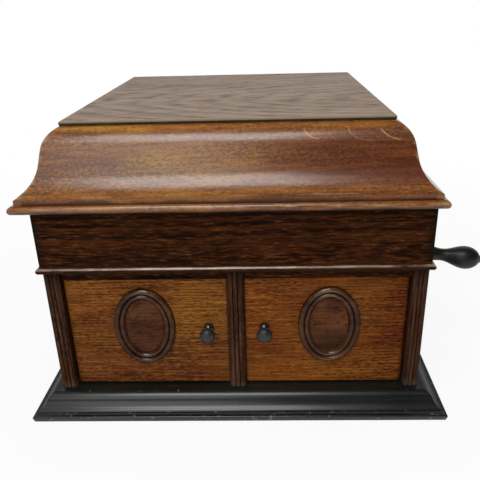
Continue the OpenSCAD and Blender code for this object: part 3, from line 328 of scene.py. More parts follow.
def ebonised(name, **changes):
    look = dict(plainBlack, **changes)
    material, tree = newMaterial(name)
    place = put(tree, "TexCoord").outputs["Object"]
    cloud = grainNoise(tree, place, *blackPattern["cloud"])
    colour = ramp(tree, cloud, [(0.3, look["base"]), (0.75, look["dusty"])])
    fine = grainNoise(tree, place, *blackPattern["fine"])
    colour = blendColour(tree, ramp(tree, fine, blackRamp["fine"]), colour, look["dusty"])
    wearAndLight = put(tree, "Attribute", attribute_name="wearAndLight").outputs["Fac"]
    ragged = grainNoise(tree, place, *blackPattern["ragged"])
    mask = calc(tree, "MULTIPLY_ADD", wearAndLight, look["chipWear"], ragged)
    mask = ramp(tree, mask, blackRamp["chip"])
    colour = blendColour(tree, calc(tree, "MULTIPLY", mask, look["chips"]), colour, look["chip"])
    if look["scratch"]:
        lines = grainNoise(tree, place, *blackPattern["scratch"])
        lines = ramp(tree, lines, [(0.70, 0.0), (0.78, look["scratch"])])
        colour = blendColour(tree, lines, colour, look["chip"])
    dim = look["cloudRough"]
    rough = calc(tree, "MULTIPLY_ADD", cloud, dim, look["rough"] - dim / 2)
    height = calc(tree, "SUBTRACT", fine, mask)
    finish(tree, colour, rough, height, look["bump"], look["bumpDeep"], coat=look["coat"],
           Specular_IOR_Level=look["shine"], Coat_Roughness=look["coatRough"])
    return material


def metal(name, colour, tarnish, rough):
    material, tree = newMaterial(name)
    place = put(tree, "TexCoord").outputs["Object"]
    cloud = grainNoise(tree, place, (60, 60, 60), 4.0, 0.6)
    lines = grainNoise(tree, place, (400, 400, 40), 2.0, 0.5)
    tint = blendColour(tree, ramp(tree, cloud, [(0.42, 0.0), (0.72, 0.8)]), colour, tarnish)
    rough = calc(tree, "MULTIPLY_ADD", lines, 0.08, rough - 0.12)
    rough = calc(tree, "MULTIPLY_ADD", cloud, 0.22, rough)
    finish(tree, tint, rough, lines, 0.05, 0.0001, Metallic=1.0)
    return material


def cloth(name, colour, shadeTone):
    material, tree = newMaterial(name)
    place = put(tree, "TexCoord").outputs["Object"]
    fuzz = grainNoise(tree, place, (1400, 1400, 1400), 3.0, 0.7)
    wear = grainNoise(tree, place, (25, 25, 25), 4.0, 0.6)
    tint = blendColour(tree, ramp(tree, fuzz, [(0.35, 0.0), (0.7, 1.0)]), shadeTone, colour)
    tint = blendColour(tree, ramp(tree, wear, [(0.45, 0.0), (0.8, 0.4)]), tint, shadeTone)
    rough = calc(tree, "MULTIPLY_ADD", fuzz, 0.1, 0.85)
    finish(tree, tint, rough, fuzz, 0.6, 0.0006, Sheen_Weight=0.4, Sheen_Roughness=0.5)
    return material


# where the light, dark and red places of the oak lie, and where painted shade and painted highlights lie on it
def stainAndPaintedLight(tint, amount, low, high, width=(0.05, 0.02, 0.02)):
    return {"tint": tint, "amount": amount, "within": True, "width": width, "low": low,
            "high": high}


def doorStain(box, shares, tint, amount, *width):
    # over a part of a door, in shares of its width and height
    low, high = box
    x0, x1, z0, z1 = shares
    wide, tall = high[0] - low[0], high[2] - low[2]
    return stainAndPaintedLight(tint, amount, (low[0] + wide * x0, None, low[2] + tall * z0),
                 (low[0] + wide * x1, None, low[2] + tall * z1), *width)


def doorRimShadeAndGrime(box):
    # painted shade round the door's edges, where it sits back between posts and rail, with grime along them
    low, high = box
    return {"tone": (0.022, 0.009, 0.004), "amount": 0.8, "width": (0.002, 0.004, 0.006),
            "low": (low[0], None, low[2]), "high": (high[0], None, high[2])}


leftDoor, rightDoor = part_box("door_left"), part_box("door_right")
friezeLow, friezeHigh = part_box("frieze_front")
topLow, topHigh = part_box("lid_top_board")
postLow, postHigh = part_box("corner_stile_left")
rightMid = [(a + b) / 2 for a, b in zip(*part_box("oval_panel_right"))]
topEdgeShadowAndHighlight = [
    # painted shadow: a dark line along the top board's front edge, under its overhang; it also dulls the finish
    # there
    {"tone": (0.010, 0.005, 0.0025), "amount": 0.95, "width": 0.0006, "ragged": False,
     "dull": True, "low": (None, topLow[1] + 0.0005, None), "high": (None, None, None)},
    # a pale line along the top board's front arris: rubbed wood and a painted highlight
    {"tone": (0.34, 0.24, 0.14), "amount": 0.6, "width": 0.0008, "within": True,
     "low": (None, None, topHigh[2] - 0.0024), "high": (None, topLow[1] + 0.0035, None)}]
lidStainsAndLitStrips = [
    # painted light: the ogee's upward-facing top strip made lighter and golden at the left
    stainAndPaintedLight((1.8, 2.3, 1.5), 0.9, (-0.195, None, 0.3150), (-0.07, None, None), (0.03, 0.02, 0.004)),
    # painted light: the same upward-facing top strip made lighter across to the right
    stainAndPaintedLight((1.45, 1.5, 1.2), 0.9, (-0.11, None, 0.3150), (0.17, None, None), (0.03, 0.02, 0.004)),
    # a golden patch left of the middle
    stainAndPaintedLight((1.35, 1.7, 1.1), 0.7, (-0.13, None, 0.272), (-0.035, None, 0.302),
          (0.035, 0.02, 0.012)),
    # painted light: the upward-facing foot of the ogee, above the quirk, made lighter
    stainAndPaintedLight((1.25, 1.3, 1.0), 0.9, (-0.21, None, 0.2575), (0.14, None, 0.2690),
          (0.03, 0.02, 0.004)),
    # the right half of the ogee is darker and redder
    stainAndPaintedLight((0.60, 0.42, 0.50), 0.9, (0.02, None, 0.262), (0.32, None, 0.318),
          (0.09, 0.02, 0.012))]
lidThick = {"low": (None, None, 0.25), "high": (0.02, None, 0.33), "width": (0.15, 0.02, 0.03),
            "more": 0.02}
# each arc: x and z of its ellipse, its two radii, and the box that it shows in
lidArcs = [(0.090, 0.319, 0.017, 0.011, (0.070, None, 0.305), (0.090, None, 0.320)),
           (0.108, 0.313, 0.009, 0.006, (0.097, None, 0.305), (0.106, None, 0.314)),
           (0.140, 0.318, 0.023, 0.012, (0.114, None, 0.303), (0.143, None, 0.319)),
           (0.172, 0.325, 0.026, 0.019, (0.145, None, 0.303), (0.171, None, 0.318))]
friezeShadowAtTopAndEnds = [
    # painted shadow: the frieze darkens near its top, under the lid's overhang, and towards its two ends
    {"tone": (0.006, 0.0045, 0.0015), "amount": 0.85, "width": 0.012,
     "low": (friezeLow[0], None, None), "high": (friezeHigh[0], None, friezeHigh[2] + 0.001)}]
postFootWearAndTopShadow = [
    # pale, rubbed wood at the foot of the posts
    {"tone": (0.085, 0.052, 0.036), "amount": 0.6, "width": 0.012,
     "low": (None, None, postLow[2] + 0.002), "high": (None, None, None)},
    # painted shadow: the posts darken towards their tops, under the waist bead
    {"tone": (0.010, 0.005, 0.003), "amount": 0.8, "width": 0.03,
     "low": (None, None, None), "high": (None, None, postHigh[2] + 0.006)}]
leftShades = [
    doorStain(leftDoor, (-0.2, 0.5, 0.6, 1.3), (1.4, 1.5, 1.3), 0.7),
    doorStain(leftDoor, (0.5, 1.2, 0.4, 1.3), (1.4, 1.55, 1.3), 0.8),
    doorStain(leftDoor, (-0.3, 1.2, -0.6, 0.4), (1.0, 0.92, 1.2), 0.8),
    doorRimShadeAndGrime(leftDoor)]
rightShades = [
    doorStain(rightDoor, (-0.3, 0.35, 0.4, 0.95), (1.5, 1.5, 1.3), 0.7),
    doorStain(rightDoor, (0.45, 0.7, 0.9, 1.3), (2.2, 1.9, 1.2), 0.8, (0.02, 0.02, 0.01)),
    doorStain(rightDoor, (0.68, 1.6, 0.25, 1.6), (0.75, 0.6, 0.6), 0.9),
    doorStain(rightDoor, (-0.3, 0.85, -0.6, 0.28), (1.4, 1.4, 1.2), 0.8),
    doorRimShadeAndGrime(rightDoor)]
panelShades = [
    stainAndPaintedLight((0.020, 0.0085, 0.0040), 0.5, (None, None, None), (None, None, rightMid[2] + 0.002)),
    stainAndPaintedLight((0.135, 0.040, 0.006), 0.6, (rightMid[0] - 0.012, None, rightMid[2] + 0.008),
          (rightMid[0] + 0.02, None, rightMid[2] + 0.032), (0.012, 0.01, 0.012))]

# the finishes: tones that several pieces share, then each finish with its own
frontTones = {"figure": 0.2, "streak": (20, 420, 420), "rough": 0.5, "shine": 0.05, "coat": 0.0,
              "glints": 0.4, "glint": (0.34, 0.135, 0.030), "pores": 0.65, "patches": 0.4,
              "blushes": 0.5}
lidTones = {"figure": 0.12, "dark": (0.105, 0.031, 0.006), "mid": (0.165, 0.054, 0.0095),
            "light": (0.240, 0.088, 0.017), "pore": (0.055, 0.017, 0.005), "pores": 0.65,
            "glints": 0.4, "glint": (0.36, 0.165, 0.045), "patch": (0.30, 0.135, 0.016),
            "patches": 0.5, "blush": (0.140, 0.032, 0.006), "blushes": 0.35,
            "streak": (14, 210, 210), "poreSize": (260, 640, 640),
            "grimeAndShade": (0.050, 0.0135, 0.0025), "bareAndHighlight": (0.34, 0.21, 0.12), "rough": 0.42,
            "poreRough": 0.1, "shine": 0.1, "coat": 1.0, "polish": 0.9, "coatRough": 0.23}
friezeTones = {"heart": (0, 0.12, -0.19), "ring": 0.0040, "ripple": 0.6, "wander": 0.010,
               "tilt": (0, 0.004, 0.004), "streak": (9, 400, 400), "poreSize": (80, 640, 640),
               "dark": (0.0042, 0.0009, 0.0003), "mid": (0.0225, 0.0050, 0.0009),
               "light": (0.066, 0.0185, 0.0032), "pore": (0.003, 0.0010, 0.0005),
               "pores": 0.75, "glints": 0.65, "glint": (0.15, 0.052, 0.014),
               "patch": (0.050, 0.014, 0.0022), "patches": 0.5, "blush": (0.045, 0.009, 0.002),
               "blushes": 0.5, "rough": 0.55, "shine": 0.04, "coat": 0.0}
beadTones = dict(friezeTones, bareAndHighlight=(0.16, 0.11, 0.08))
# the bead's round takes this finish: lighter wood, partly rubbed and partly a painted highlight, under a full coat
beadRubAndHighlightTones = dict(friezeTones, mid=(0.10, 0.060, 0.040), light=(0.20, 0.135, 0.10), coat=1.0,
                    coatRough=0.16, coatBump=0.1, bareAndHighlight=(0.34, 0.24, 0.18))
postTones = {"grain": "z", "heart": (0, 0.02, -0.03), "figure": 0.2,
             "dark": (0.013, 0.0048, 0.0022), "mid": (0.045, 0.0165, 0.0072),
             "light": (0.092, 0.041, 0.021), "pore": (0.006, 0.003, 0.0015),
             "patch": (0.06, 0.024, 0.011), "blush": (0.052, 0.013, 0.006), "blushes": 0.5,
             "glints": 0.4, "glint": (0.11, 0.060, 0.036), "grimeAndShade": (0.005, 0.0022, 0.0014),
             "bareAndHighlight": (0.11, 0.063, 0.040), "rough": 0.45, "shine": 0.05, "coat": 0.0}
ringTones = {"figure": 0.1, "streak": (20, 60, 60), "dark": (0.016, 0.0055, 0.0021),
             "mid": (0.046, 0.0158, 0.0052), "light": (0.086, 0.033, 0.0115),
             "pore": (0.008, 0.003, 0.002), "patch": (0.060, 0.021, 0.007),
             "bareAndHighlight": (0.17, 0.090, 0.045), "grimeAndShade": (0.006, 0.0025, 0.0015), "rough": 0.42,
             "shine": 0.04, "coat": 0.1, "polish": 1.6, "coatRough": 0.09, "glints": 0.3,
             "glint": (0.09, 0.042, 0.020)}
panelTones = {"heart": (0, 0.2, 0), "figure": 0.15, "streak": (12, 70, 70),
              "dark": (0.030, 0.0082, 0.0022), "mid": (0.060, 0.0180, 0.0054),
              "light": (0.105, 0.038, 0.0125), "pore": (0.012, 0.004, 0.002),
              "patch": (0.12, 0.032, 0.006), "patches": 0.5, "shine": 0.08, "coat": 0.05,
              "glint": (0.13, 0.050, 0.018), "poreSize": (120, 260, 260)}
plinthTones = {"base": (0.0035, 0.0045, 0.0038), "dusty": (0.010, 0.0125, 0.0112),
               "chip": (0.16, 0.15, 0.125), "chips": 0.7, "scratch": 0.3, "coatRough": 0.2}
finishes = {
    "lidTop": oakWood("topOak", heart=(0.0, 0.03, -0.205), tilt=(0.0, 0.42, 0.02), ring=0.019,
                      wander=0.055, figure=0.6, dark=(0.105, 0.060, 0.031),
                      mid=(0.180, 0.110, 0.060), light=(0.235, 0.150, 0.088),
                      pore=(0.06, 0.035, 0.018), pores=0.45, glints=0.15,
                      patch=(0.20, 0.115, 0.055), rough=0.5, coat=0.0, bump=0.08,
                      poreSize=(55, 420, 600), streak=(5, 150, 300), shades=topEdgeShadowAndHighlight),
    "lidFront": oakWood("lidOak", shades=lidStainsAndLitStrips, arcs=lidArcs, thick=lidThick, **lidTones),
    "lidSide": oakWood("lidOakSide", grain="y", heart=(0.0, 0.1, -0.1), fleck=0.3, **lidTones),
    "lidBack": oakWood("lidBackOak", heart=(0.0, -0.15, -0.2), **lidTones),
    "frieze": oakWood("friezeOak", shades=friezeShadowAtTopAndEnds, **friezeTones),
    "friezeSide": oakWood("friezeSideOak", grain="y", **friezeTones),
    "bead": oakWood("beadOak", **beadTones),
    "beadRubAndHighlight": oakWood("beadRubAndHighlightOak", **beadRubAndHighlightTones),
    "post": oakWood("postOak", shades=postFootWearAndTopShadow, **postTones),
    "doorLeft": oakWood("doorOakLeft", heart=(0, 0.22, -0.01), dark=(0.055, 0.014, 0.003),
                        mid=(0.138, 0.043, 0.0080), light=(0.245, 0.093, 0.018),
                        pore=(0.028, 0.008, 0.003), patch=(0.195, 0.078, 0.011),
                        blush=(0.105, 0.024, 0.006), ring=0.0036, shades=leftShades,
                        **frontTones),
    "doorRight": oakWood("doorOakRight", heart=(0.3, 0.20, 0.06), dark=(0.045, 0.010, 0.0018),
                         mid=(0.125, 0.034, 0.0060), light=(0.235, 0.082, 0.016),
                         pore=(0.024, 0.007, 0.002), patch=(0.205, 0.068, 0.010),
                         blush=(0.098, 0.019, 0.0042), ring=0.004, shades=rightShades,
                         **frontTones),
    "ring": oakWood("ringOak", **ringTones),
    "panelLeft": oakWood("panelOakLeft", **panelTones),
    "panelRight": oakWood("panelOakRight", shades=panelShades, **panelTones),
    "board": oakWood("boardOak", heart=(0.1, 0.02, -0.3), ring=0.006, dark=(0.05, 0.022, 0.009),
                     mid=(0.10, 0.047, 0.018), light=(0.17, 0.085, 0.035),
                     patch=(0.14, 0.07, 0.03), coat=0.3),
    "plinth": ebonised("blackPlinth", rough=0.34, coat=0.45, shine=0.28, **plinthTones),
    "plinthSide": ebonised("blackPlinthSide", rough=0.5, coat=0.05, shine=0.12, **plinthTones),
    "black": ebonised("blackWood", shine=0.25),
    "knobBlack": ebonised("knobBlack", base=(0.004, 0.0045, 0.004), dusty=(0.010, 0.011, 0.010),
                          chip=(0.07, 0.065, 0.055), rough=0.38, coat=1.0, chips=0.2,
                          coatRough=0.07),
    "knobHead": ebonised("knobHead", base=(0.007, 0.008, 0.0072), dusty=(0.022, 0.024, 0.021),
                         chip=(0.10, 0.095, 0.08), rough=0.5, coat=0.25, coatRough=0.4,
                         shine=0.35),
    "iron": metal("blackIron", (0.06, 0.06, 0.062), (0.03, 0.026, 0.022), 0.5),
    "brass": metal("agedBrass", (0.52, 0.36, 0.14), (0.20, 0.13, 0.05), 0.38),
    "nickel": metal("nickelPlate", (0.62, 0.61, 0.57), (0.36, 0.33, 0.27), 0.28),
    "steel": metal("brightSteel", (0.42, 0.42, 0.43), (0.20, 0.18, 0.16), 0.38),
    "felt": cloth("greenFelt", (0.035, 0.115, 0.05), (0.018, 0.06, 0.028)),
}
print("finishes ready,", len(finishes))


# mesh helpers: a piece is a stack of rings of points, and caps close its two ends
def meshPiece(name, rings, body, material, wearAndLight=None, smoothAngle=35, caps=True):
    bm = bmesh.new()
    layer = bm.verts.layers.float.new("wearAndLight")
    rows = []
    for r, ring in enumerate(rings):
        row = []
        for i, point in enumerate(ring):
            vert = bm.verts.new(point)
            vert[layer] = wearAndLight[r][i] if wearAndLight else 0.0
            row.append(vert)
        rows.append(row)
    count = len(rings[0])
    for a, b in zip(rows, rows[1:]):
        for i in range(count):
            j = (i + 1) % count
            bm.faces.new((a[i], a[j], b[j], b[i]))
    if caps:
        bm.faces.new(rows[0][::-1])
        bm.faces.new(rows[-1])
    bmesh.ops.remove_doubles(bm, verts=bm.verts, dist=1e-7)
    bmesh.ops.recalc_face_normals(bm, faces=bm.faces)
    mesh = bpy.data.meshes.new(name)
    bm.to_mesh(mesh)
    bm.free()
    mesh.shade_smooth()
    mesh.set_sharp_from_angle(angle=math.radians(smoothAngle))
    mesh.materials.append(material)
    piece = bpy.data.objects.new(name, mesh)
    bpy.context.scene.collection.objects.link(piece)
    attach(piece, body)
    return piece


def secondFinish(piece, material, takes):
    # faces whose centre passes the test take another finish
    piece.data.materials.append(material)
    for face in piece.data.polygons:
        if takes(face.center):
            face.material_index = 1


def arcPoints(centre, radius, start, end, steps=10):
    angles = [math.radians(start + (end - start) * i / steps) for i in range(steps + 1)]
    return [(centre[0] + radius * math.cos(a), centre[1] + radius * math.sin(a)) for a in angles]


# ogee from its top edge down to its foot: a round shoulder, a straight and a cove
def ogeePoints(top, foot, radius, slopes, steps=14):
    sin, cos = math.sin, math.cos
    topA, midA, footA = [math.radians(a) for a in slopes]
    du = top[0] - foot[0] - radius * (sin(midA) - sin(topA))
    dz = top[1] - foot[1] - radius * (cos(topA) - cos(midA))
    det = cos(midA - footA) - 1
    straight = (du * (cos(footA) - cos(midA)) - dz * (sin(midA) - sin(footA))) / det
    cove = (dz * cos(midA) - du * sin(midA)) / det
    points = []
    for i in range(steps + 1):
        a = topA + (midA - topA) * i / steps
        points.append((top[0] - radius * (sin(a) - sin(topA)),
                       top[1] - radius * (cos(topA) - cos(a))))
    startU, startZ = points[-1]
    u, z = startU - straight * cos(midA), startZ - straight * sin(midA)
    for i in range(1, 4):
        points.append((startU + (u - startU) * i / 4, startZ + (z - startZ) * i / 4))
    for i in range(steps + 1):
        a = midA + (footA - midA) * i / steps
        points.append((u - cove * (sin(midA) - sin(a)), z - cove * (cos(a) - cos(midA))))
    return points


# a moulding between two ends; each end gives the plan point for a profile point's inset
run = {"steps": 48, "endReach": 0.001, "waveCells": 23}


def mouldingRun(name, profile, plan, body, material, wearAndLight, wobble=0.00012, endWear=0.8):
    startPlan, endPlan = plan
    rings, wearAndLightRows = [], []
    for s in range(run["steps"] + 1):
        t = s / run["steps"]
        ring, row = [], []
        for i, (u, z) in enumerate(profile):
            a, b = startPlan(u), endPlan(u)
            point = Vector((a[0] + (b[0] - a[0]) * t, a[1] + (b[1] - a[1]) * t, z))
            if 0 < s < run["steps"]:
                point.z += wobble * noise.noise(point * run["waveCells"])
            ring.append(point)
            toEnd = min(t, 1 - t) * (Vector(a) - Vector(b)).length
            row.append(max(wearAndLight[i], endWear) if toEnd < run["endReach"] else wearAndLight[i])
        rings.append(ring)
        wearAndLightRows.append(row)
    return meshPiece(name, rings, body, material, wearAndLightRows)


# plans of the three runs round a case, mitred at its two front corners and open at the back
def threeSides(low, high, backY):
    x0, x1, y0 = low[0], high[0], low[1]
    leftBack, leftFront = lambda u: (x0 + u, backY), lambda u: (x0 + u, y0 + u)
    rightFront, rightBack = lambda u: (x1 - u, y0 + u), lambda u: (x1 - u, backY)
    return (("Front", (leftFront, rightFront)), ("Left", (leftBack, leftFront)),
            ("Right", (rightFront, rightBack)))


# lid: wear goes from the rubbed top arris over the ogee; its foot gets a painted highlight, the quirk painted
# shade with dirt, and the lower bead a painted highlight along its middle and painted shade below
lid = {"shoulder": 0.028, "slopes": (20, 77, 28), "inset": 0.0498, "footInset": 0.0059,
       "footUp": 0.0139, "torus": 0.0045, "torusArc": (90, 252), "sink": 0.0002,
       "inner": [(0.024, 0.0), (0.024, 0.014), (0.036, 0.031), (0.042, 0.056)],
       "rebate": 0.0550, "rebateDeep": 0.007, "wornTop": [0.5, 0.2],
       # quirk: a painted highlight on the ogee's foot, then painted shade with dirt
       "quirkHighlightAndShade": [0.6, -0.3, -0.9],
       # torus: painted shade at its top, a painted highlight along its middle, painted shade below
       "torusHighlightAndShade": [-0.8, -0.5, -0.3, -0.1, 0.0, 0.2, 0.5, 0.7, 0.4, -0.1, -0.4] + [-0.6] * 6}


def makeLid():
    low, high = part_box("lid_moulding_front")
    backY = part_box("lid_back_board")[0][1]
    z0, z1 = low[2], high[2]
    r = lid["torus"]
    ogee = ogeePoints((lid["inset"], z1), (lid["footInset"], z0 + lid["footUp"]),
                      lid["shoulder"], lid["slopes"])
    quirk = [(lid["footInset"], z0 + 2 * r - lid["sink"])]
    torus = arcPoints((r, z0 + r - lid["sink"]), r, *lid["torusArc"], len(lid["torusHighlightAndShade"]) - 1)
    inner = [(u, z0 + z) for u, z in lid["inner"]]
    inner += [(lid["rebate"], z1 - lid["rebateDeep"]), (lid["rebate"], z1)]
    profile = ogee + quirk + torus + inner
    plain = len(ogee) + len(quirk) - len(lid["wornTop"]) - len(lid["quirkHighlightAndShade"])
    wearAndLight = lid["wornTop"] + [0.0] * plain + lid["quirkHighlightAndShade"] + lid["torusHighlightAndShade"]
    wearAndLight += [0.0] * len(inner)
    for side, plan in threeSides(low, high, backY):
        look = finishes["lidFront" if side == "Front" else "lidSide"]
        piece = mouldingRun("lid" + side + "Moulding", profile, plan, "lid", look, wearAndLight)
        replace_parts(piece, "lid_moulding_" + side.lower())


makeLid()


# black plinth: a frame with an ogee, a few small steps and a round nose at its foot
plinth = {"deep": 0.060, "top": 0.023, "cove": (0.009, 0.012), "shoulder": 0.011,
          "slopes": (12, 68, 38), "nose": 0.0016, "noseUp": 0.0058,
          "steps": [(0.0072, 0.0109), (0.0065, 0.0096), (0.0046, 0.0091), (0.0042, 0.0077),
                    (0.0024, 0.0074)],
          "foot": [(0.0015, 0.0002), (0.0019, 0.0)], "edgeWear": 0.25, "footWear": 0.5,
          "footPoints": 12, "endWear": 0.2}


def makePlinth():
    low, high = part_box("plinth")
    z1, deep = high[2], plinth["deep"]
    profile = [(deep, 0.0), (deep, z1)]
    profile += ogeePoints((plinth["top"], z1), plinth["cove"], plinth["shoulder"],
                          plinth["slopes"], 12)
    profile += plinth["steps"]
    profile += arcPoints((plinth["nose"], plinth["noseUp"]), plinth["nose"], 90, 180, 5)
    profile += plinth["foot"]
    wearAndLight = [0.0, 0.0] + [plinth["edgeWear"]] * 3
    wearAndLight += [0.0] * (len(profile) - len(wearAndLight) - plinth["footPoints"])
    wearAndLight += [plinth["footWear"]] * plinth["footPoints"]
    x0, x1, y1 = low[0], high[0], high[1]
    for side, plan in threeSides(low, high, y1):
        look = finishes["plinth" if side == "Front" else "plinthSide"]
        piece = mouldingRun("plinth" + side, profile, plan, "case", look, wearAndLight,
                            endWear=plinth["endWear"])
        if side == "Front":
            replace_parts(piece, "plinth")
    corners = ((y1 - deep, 0), (y1, 0), (y1, z1), (y1 - deep, z1))
    back = [[Vector((x, y, z)) for y, z in corners] for x in (x0 + deep, 0.0, x1 - deep)]
    meshPiece("plinthBack", back, "case", finishes["plinth"])


makePlinth()
print("lid and plinth moulded")


# doors' ovals: outer bead, quirk, inner bead and a fillet down to the panel
oval = {"band": 0.013, "tall": 0.0055, "outer": 0.0031, "inner": 0.0027, "innerBack": 0.004,
        "innerDown": 0.001, "fillet": [(0.001, 0.0019), (0.0, 0.0015), (0.0, 0.0)], "steps": 144,
        "wiped": (0.3, 1.2, 8),
        "wearAndLight": [-0.9, -0.7, -0.3] + [0.4] * 8 + [0.2, -0.3, -0.7, -1.0, -0.5] + [0.4] * 7
                + [0.2, 0.0, -0.3, -0.2, -0.4]}


def makeOval(side):
    node = "oval_ring_" + side
    low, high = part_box(node)
    cx, cz, back = (low[0] + high[0]) / 2, (low[2] + high[2]) / 2, high[1]
    rx, rz = (high[0] - low[0]) / 2, (high[2] - low[2]) / 2
    band, outer, inner = oval["band"], oval["outer"], oval["inner"]
    section = [(0.0, 0.0)] + arcPoints((outer, oval["tall"] - outer), outer, 180, 18, 12)
    innerAt = (band - oval["innerBack"], oval["tall"] - inner - oval["innerDown"])
    section += arcPoints(innerAt, inner, 152, 10, 10)
    section += [(band - u, h) for u, h in oval["fillet"]]
    least, more, power = oval["wiped"]
    rings, rows = [], []
    for i in range(oval["steps"]):
        a = 2 * math.pi * i / oval["steps"]
        # its top and foot are polished by wiping
        wiped = least + more * abs(math.sin(a)) ** power
        rows.append([w * wiped if w > 0 else w for w in oval["wearAndLight"]])
        normal = Vector((math.cos(a) / rx, math.sin(a) / rz)).normalized()
        rings.append([Vector((cx + rx * math.cos(a) - u * normal.x, back - h,
                              cz + rz * math.sin(a) - u * normal.y)) for u, h in section])
    rings.append(rings[0])
    rows.append(rows[0])
    piece = meshPiece("ovalMoulding_" + side, rings, "door_" + side, finishes["ring"],
                      rows, smoothAngle=50, caps=False)
    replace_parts(piece, node)


for side in ("left", "right"):
    makeOval(side)


# turned pieces: a profile of (height, radius) about an axis
turned = {"steps": 48, "smooth": 60, "least": 1e-5}


def turnedPiece(name, profile, foot, axis, body, material, caps=True):
    axis = Vector(axis).normalized()
    across = axis.orthogonal().normalized()
    other = axis.cross(across)
    angles = [2 * math.pi * i / turned["steps"] for i in range(turned["steps"])]
    rings = []
    for h, r in profile:
        rings.append([Vector(foot) + axis * h
                      + (across * math.cos(a) + other * math.sin(a)) * max(r, turned["least"])
                      for a in angles])
    return meshPiece(name, rings, body, material, smoothAngle=turned["smooth"], caps=caps)


# knob: ball collar, thin neck, and a head that flares from behind to a low dome
knob = {"collarAt": 0.0052, "collar": 0.0061, "collarArc": (148, 26), "neck": 0.0027,
        "neckEnd": 0.0172, "headAt": 0.0222, "head": 0.0085, "end": 0.0285, "domePower": 0.9}


def makeKnob(side):
    low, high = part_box("knob_" + side)
    foot = ((low[0] + high[0]) / 2, high[1], (low[2] + high[2]) / 2)
    ball = arcPoints((knob["collarAt"], 0.0), knob["collar"], *knob["collarArc"], 14)
    flare, rise = knob["headAt"] - knob["neckEnd"], knob["end"] - knob["headAt"]
    back = [(knob["neckEnd"] + flare * (1 - math.cos(math.radians(a))),
             knob["neck"] + (knob["head"] - knob["neck"]) * math.sin(math.radians(a)))
            for a in range(0, 91, 10)]
    dome = [(knob["headAt"] + rise * math.sin(math.radians(a)),
             knob["head"] * math.cos(math.radians(a)) ** knob["domePower"])
            for a in range(9, 82, 8)]
    profile = [(0.0, ball[0][1])] + ball + back + dome + [(knob["end"], 0.0)]
    piece = turnedPiece("turnedKnob_" + side, profile, foot, (0, -1, 0), "door_" + side,
                        finishes["knobBlack"])
    secondFinish(piece, finishes["knobHead"], lambda c: c.y < foot[1] - knob["neckEnd"])
    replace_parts(piece, "knob_" + side)


for side in ("left", "right"):
    makeKnob(side)


# the crank's grip, turned about the axis that it spins on
grip = {"foot": 0.0044, "neckAt": 0.018, "bulbAt": 0.0475, "long": 0.066, "footRadius": 0.0093,
        "neck": 0.0076, "bulb": 0.0144, "bore": 0.0035, "round": 72}


def easedPoints(startAt, endAt, startRadius, endRadius, steps):
    points = []
    for i in range(steps + 1):
        t = (1 - math.cos(math.pi * i / steps)) / 2
        points.append((startAt + (endAt - startAt) * i / steps,
                       startRadius + (endRadius - startRadius) * t))
    return points


def makeGrip():
    spin = next(j for j in frame["joints"] if j["name"] == "grip_spin")
    rise = grip["long"] - grip["bulbAt"]
    profile = [(grip["foot"], grip["bore"])]
    profile += easedPoints(grip["foot"], grip["neckAt"], grip["footRadius"], grip["neck"], 10)
    profile += easedPoints(grip["neckAt"], grip["bulbAt"], grip["neck"], grip["bulb"], 18)[1:]
    for i in range(1, 13):
        a = math.radians(grip["round"] * i / 12)
        profile.append((grip["bulbAt"] + rise * math.sin(a), grip["bulb"] * math.cos(a)))
    profile += [(profile[-1][0], grip["bore"]), profile[0]]
    piece = turnedPiece("turnedGrip", profile, spin["pos_m"], spin["axis"], "crank_grip",
                        finishes["black"], caps=False)
    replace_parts(piece, "crank_handle")


makeGrip()
print("ovals, knobs and grip made")


# bead at the waist: a weathering, a round that catches the light, and an undercut front; the round is painted
# pale, as rubbed wood and a painted highlight, and the joint with the frieze, the undercut front and the foot get
# painted shade; heights go down from its top, but footAt's goes up from its underside
bead = {"flat": (0.0038, 0.0012), "round": 0.0042, "roundDown": 0.0054, "roundArc": (105, 168),
        "front": [(0.0002, 0.0055), (0.0006, 0.0063)], "footAt": (0.0022, 0.0016),
        "foot": 0.0014, "footArc": (190, 250), "footEdge": 0.0024, "bright": (0.0036, 0.0017),
        # pale along the round: rubbed wood and a painted highlight; dark at the joint with the frieze and on the
        # front and foot: painted shade, with dirt at the joint
        "wearAndLight": [-0.9, -0.5, -0.2, 0.3, 0.7] + [1.0] * 5 + [0.6, 0.2, -0.2, -0.6],
        "grimeAndShade": -0.8, "wobble": 0.0002}


def makeBead():
    low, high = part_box("waist_bead")
    z0, z1 = low[2], high[2]
    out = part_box("frieze_front")[0][1] - low[1]
    r, (footU, footZ) = bead["round"], bead["footAt"]
    profile = [(out, z1), (bead["flat"][0], z1 - bead["flat"][1])]
    profile += arcPoints((r, z1 - bead["roundDown"]), r, *bead["roundArc"], 10)
    profile += [(u, z1 - down) for u, down in bead["front"]]
    profile += arcPoints((footU, z0 + footZ), bead["foot"], *bead["footArc"], 4)
    profile += [(bead["footEdge"], z0), (out, z0)]
    wearAndLight = bead["wearAndLight"] + [bead["grimeAndShade"]] * (len(profile) - len(bead["wearAndLight"]))
    brightLow, brightHigh = [z1 - down for down in bead["bright"]]
    for side, plan in threeSides(low, high, high[1]):
        piece = mouldingRun("waistBead" + side, profile, plan, "case", finishes["bead"],
                            wearAndLight, wobble=bead["wobble"])
        secondFinish(piece, finishes["beadRubAndHighlight"], lambda c: brightLow < c.z < brightHigh)
        if side == "Front":
            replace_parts(piece, "waist_bead")


makeBead()


# reeded posts beside and between the doors
post = {"reeds": 3, "edge": 0.0012, "crown": 0.0016, "groove": 0.0004, "steps": 10,
        "flankDeep": 0.0006, "grooveDeep": 0.0007, "crownWear": 0.25, "grooveDark": 0.9,
        "firstLevel": 0.0008, "levels": 24, "chippedFoot": 0.006, "chip": 0.0005,
        "chipCells": (900, 500), "footWear": 0.8}


